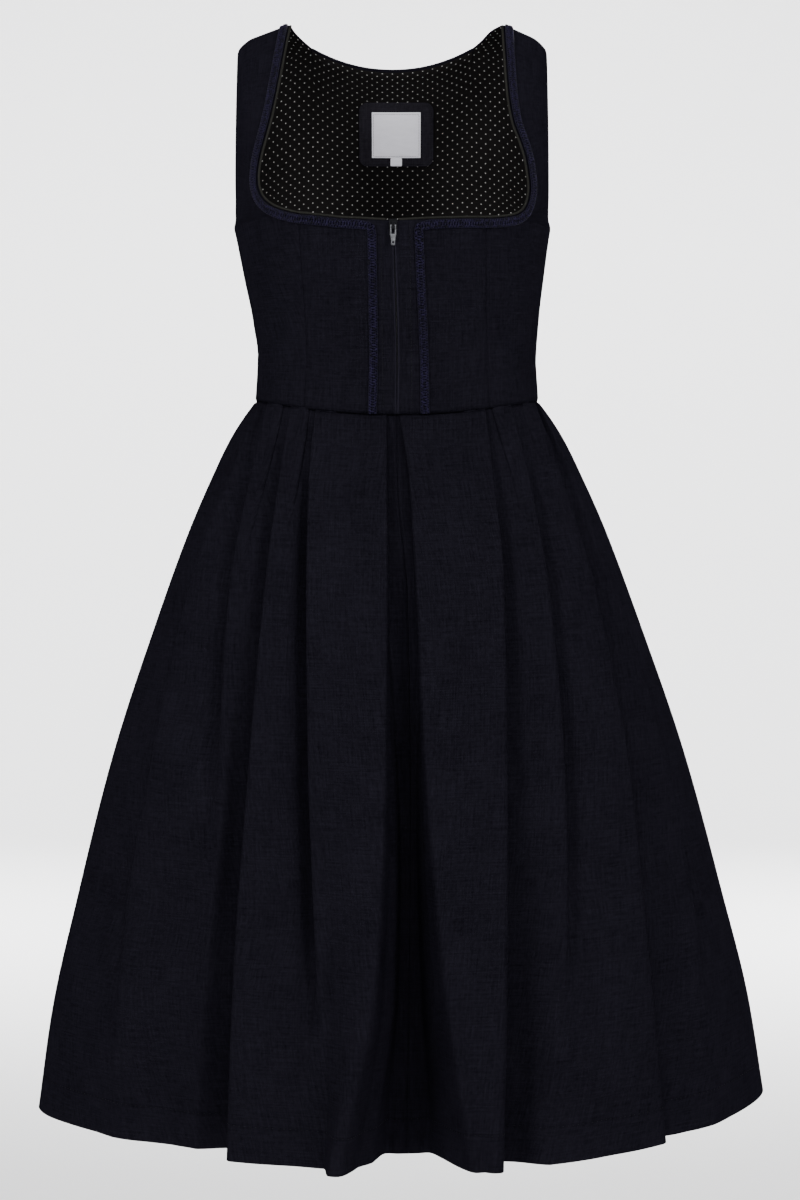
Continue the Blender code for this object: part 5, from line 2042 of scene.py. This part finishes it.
@dataclass(frozen=True)
class SewnTab:
    """Sizes of a small piece of cloth sewn inside the back."""

    node: str
    width: float
    height: float
    middle_z: float
    depth: float
    rounded: float
    cut: tuple
    area: float
    stitch_in: float = 0.0


@dataclass
class BackLabels:
    """The dark patch inside the back, the bare label on it and the small tab below."""

    form: BodiceForm
    looks: Wardrobe
    middle_x: float = 0.0038
    thick: float = 0.0010
    stitch: Stitch = Stitch(0.0020, 0.0026, 0.00018)
    patch: SewnTab = SewnTab(
        "back_patch", 0.0740, 0.0610, -0.0913, 0.0037, 0.0080, (0.0740, 0.0640), 0.00465, 0.0022
    )
    label: SewnTab = SewnTab(
        "label", 0.0485, 0.0440, -0.0914, 0.0050, 0.0003, (0.0485, 0.0460), 0.00220, 0.0016
    )
    tab: SewnTab = SewnTab(
        "size_tab", 0.0110, 0.0076, -0.1175, 0.0050, 0.0003, (0.0110, 0.0152), 0.000086, 0.0
    )

    def build(self) -> None:
        """Builds the three pieces and the stitches round two of them."""
        self.sewn(self.patch, self.looks.patch, self.looks.thread)
        self.sewn(self.label, self.looks.label, self.looks.pale_thread)
        self.sewn(self.tab, self.looks.label, self.looks.pale_thread)

    def spot(self, x: np.ndarray, z: np.ndarray, depth: np.ndarray) -> np.ndarray:
        """World places this far inside the back's cloth."""
        places = self.form.place_of(x, z, Face.BACK)
        plain = self.form.dressed(places[..., 0], places[..., 1], Face.BACK)
        out = self.form.outward(places[..., 0], places[..., 1], Face.BACK)
        return plain - out * np.asarray(depth)[..., None]

    def sewn(
        self, tab: SewnTab, look: bpy.types.Material, thread: bpy.types.Material
    ) -> None:
        """One small piece, a little puffed between its sewn edges.

        Args:
            tab: Its sizes.
            look: Its material.
            thread: Its stitches' material.
        """
        up = crowded(34) * 2 - 1
        across = crowded(40) * 2 - 1
        z = up * tab.height / 2
        left = np.maximum(0.0, tab.rounded - (tab.height / 2 - np.abs(z)))
        half = tab.width / 2 - tab.rounded + np.sqrt(np.maximum(0.0, tab.rounded**2 - left**2))
        x = half[:, None] * across[None]
        z = np.broadcast_to(z[:, None], x.shape)
        puff = (1 - up[:, None] ** 4) * (1 - across[None] ** 4)
        grid = self.spot(self.middle_x + x, tab.middle_z + z, tab.depth + 0.0005 * puff - 0.0002)
        uv = np.stack([x, z], -1)
        grid, uv = grid[:, ::-1], uv[:, ::-1]
        piece = Sheet(f"{tab.node}_cloth", [grid], [uv], look, thick=self.thick).build()
        register(piece, GARMENT, [tab.node])
        if tab.stitch_in:
            self.stitches(tab, thread)

    def stitches(self, tab: SewnTab, thread: bpy.types.Material) -> None:
        """Stitches round a piece, a little inside its edge."""
        w, h = tab.width / 2 - tab.stitch_in, tab.height / 2 - tab.stitch_in
        r = max(0.0005, tab.rounded - tab.stitch_in)
        corners = ((w - r, h - r, 0), (-w + r, h - r, 1), (-w + r, -h + r, 2), (w - r, -h + r, 3))
        loop = []
        for cx, cz, quarter in corners:
            for turn in np.linspace(0, math.pi / 2, 7):
                angle = turn + quarter * math.pi / 2
                loop.append((cx + r * math.cos(angle), cz + r * math.sin(angle)))
        loop = np.array(loop + loop[:1])
        walked = along(loop, 0)
        count = int(walked[-1] / self.stitch.pitch)
        spots = (np.arange(count) + 0.5) * walked[-1] / count
        x, z = sampled(loop, walked, spots).T
        x, z = self.middle_x + x, tab.middle_z + z
        outs = -self.form.outward(*self.form.place_of(x, z, Face.BACK).T, Face.BACK)
        middles = self.spot(x, z, np.full(count, tab.depth + self.thick / 2))
        closed = np.vstack([middles[-1:], middles, middles[:1]])
        ways = unit(closed[2:] - closed[:-2])
        piece = self.stitch.sew(f"{tab.node}_stitches", middles, ways, outs, thread)
        register(piece, GARMENT)


# ------------------------------------------------------------------ studio
@dataclass
class Studio:
    """Pale floor with a curved backdrop, soft lights and the camera."""

    floor_z: float = -1.42
    reach: float = 16.0
    bend_y: float = 7.6
    bend: float = 2.4
    height: float = 10.0
    sky: float = 0.45
    lens: float = 87.5
    eye: tuple = (0.0075, -2.8, -0.553)

    def build(self) -> None:
        """Builds the room, the lights and the camera."""
        self.room()
        self.lights()
        self.camera()

    def room(self) -> None:
        """Floor and backdrop as one curved sheet."""
        bend = self.bend
        profile = [(-self.reach, 0.0), (self.bend_y, 0.0)]
        for turn in np.linspace(0.1, 1.0, 10) * math.pi / 2:
            profile.append((self.bend_y + bend * math.sin(turn), bend - bend * math.cos(turn)))
        profile.append((self.bend_y + bend, self.height))
        columns = (-self.reach, 0.0, self.reach)
        rows = [[(x, y, self.floor_z + z) for y, z in profile] for x in columns]
        points = np.array(rows).transpose(1, 0, 2)
        floor = mesh_object("studio_floor", points.reshape(-1, 3), grid_faces(len(profile), 3))
        floor.data.materials.append(StudioPaper("studio_paper", (0.86, 0.86, 0.87)).make())

    def lights(self) -> None:
        """Nine soft lights round the dress and on the backdrop, and an even sky."""
        rows = (
            ("key_light", (-2.3, -3.0, 1.0), (0.0, 0.0, -0.50), 1.3, 105.0),
            ("fill_light", (2.3, -3.0, 1.0), (0.0, 0.0, -0.50), 1.3, 92.0),
            ("front_light", (0.15, -3.9, 0.0), (0.0, 0.0, -0.60), 1.0, 24.0),
            ("top_light", (0.0, -0.9, 2.2), (0.0, 0.0, -0.55), 1.6, 30.0),
            ("back_light", (1.4, 4.6, 2.6), (0.0, 0.0, -0.55), 2.0, 330.0),
            ("side_light_left", (-4.2, 0.6, 1.0), (0.0, 0.0, -0.55), 1.6, 34.0),
            ("side_light_right", (4.2, 0.6, 1.0), (0.0, 0.0, -0.55), 1.6, 34.0),
            ("backdrop_light_left", (-3.2, 4.0, 1.6), (-0.8, 9.5, -0.6), 2.0, 700.0),
            ("backdrop_light_right", (3.2, 4.0, 1.6), (0.8, 9.5, -0.6), 2.0, 700.0),
        )
        for name, place, target, size, power in rows:
            lamp = bpy.data.lights.new(name, "AREA")
            lamp.shape = "DISK"
            lamp.size = size
            lamp.energy = power
            made = bpy.data.objects.new(name, lamp)
            made.location = place
            aim = np.array(target) - np.array(place)
            made.rotation_euler = (
                math.atan2(math.hypot(aim[0], aim[1]), -aim[2]), 0.0,
                math.atan2(aim[1], aim[0]) - math.pi / 2,
            )
            bpy.context.scene.collection.objects.link(made)
        world = bpy.data.worlds.new("soft_sky")
        world.use_nodes = True
        background = world.node_tree.nodes["Background"]
        background.inputs["Color"].default_value = (1, 1, 1, 1)
        background.inputs["Strength"].default_value = self.sky
        bpy.context.scene.world = world

    def camera(self) -> None:
        """The camera, level and square to the front."""
        data = bpy.data.cameras.new("photo_camera")
        data.lens = self.lens
        data.sensor_width = 36.0
        data.dof.use_dof = False
        made = bpy.data.objects.new("photo_camera", data)
        made.location = self.eye
        made.rotation_euler = (math.pi / 2, 0.0, 0.0)
        bpy.context.scene.collection.objects.link(made)
        bpy.context.scene.camera = made


def main() -> None:
    """Builds every part of the dress and the studio."""
    logging.basicConfig(level=logging.INFO, format="%(name)s: %(message)s")
    looks = Wardrobe()
    bodice = BodiceForm()
    Bodice(bodice, looks).build()
    skirt = SkirtForm()
    Skirt(skirt, looks).build()
    NeckTrims(bodice, looks).build()
    FrontZip(bodice, skirt, looks).build()
    BackLabels(bodice, looks).build()
    Studio().build()
    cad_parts["zip_slider"].material_slots[0].material = looks.dark_metal


if __name__ == "__main__":
    main()
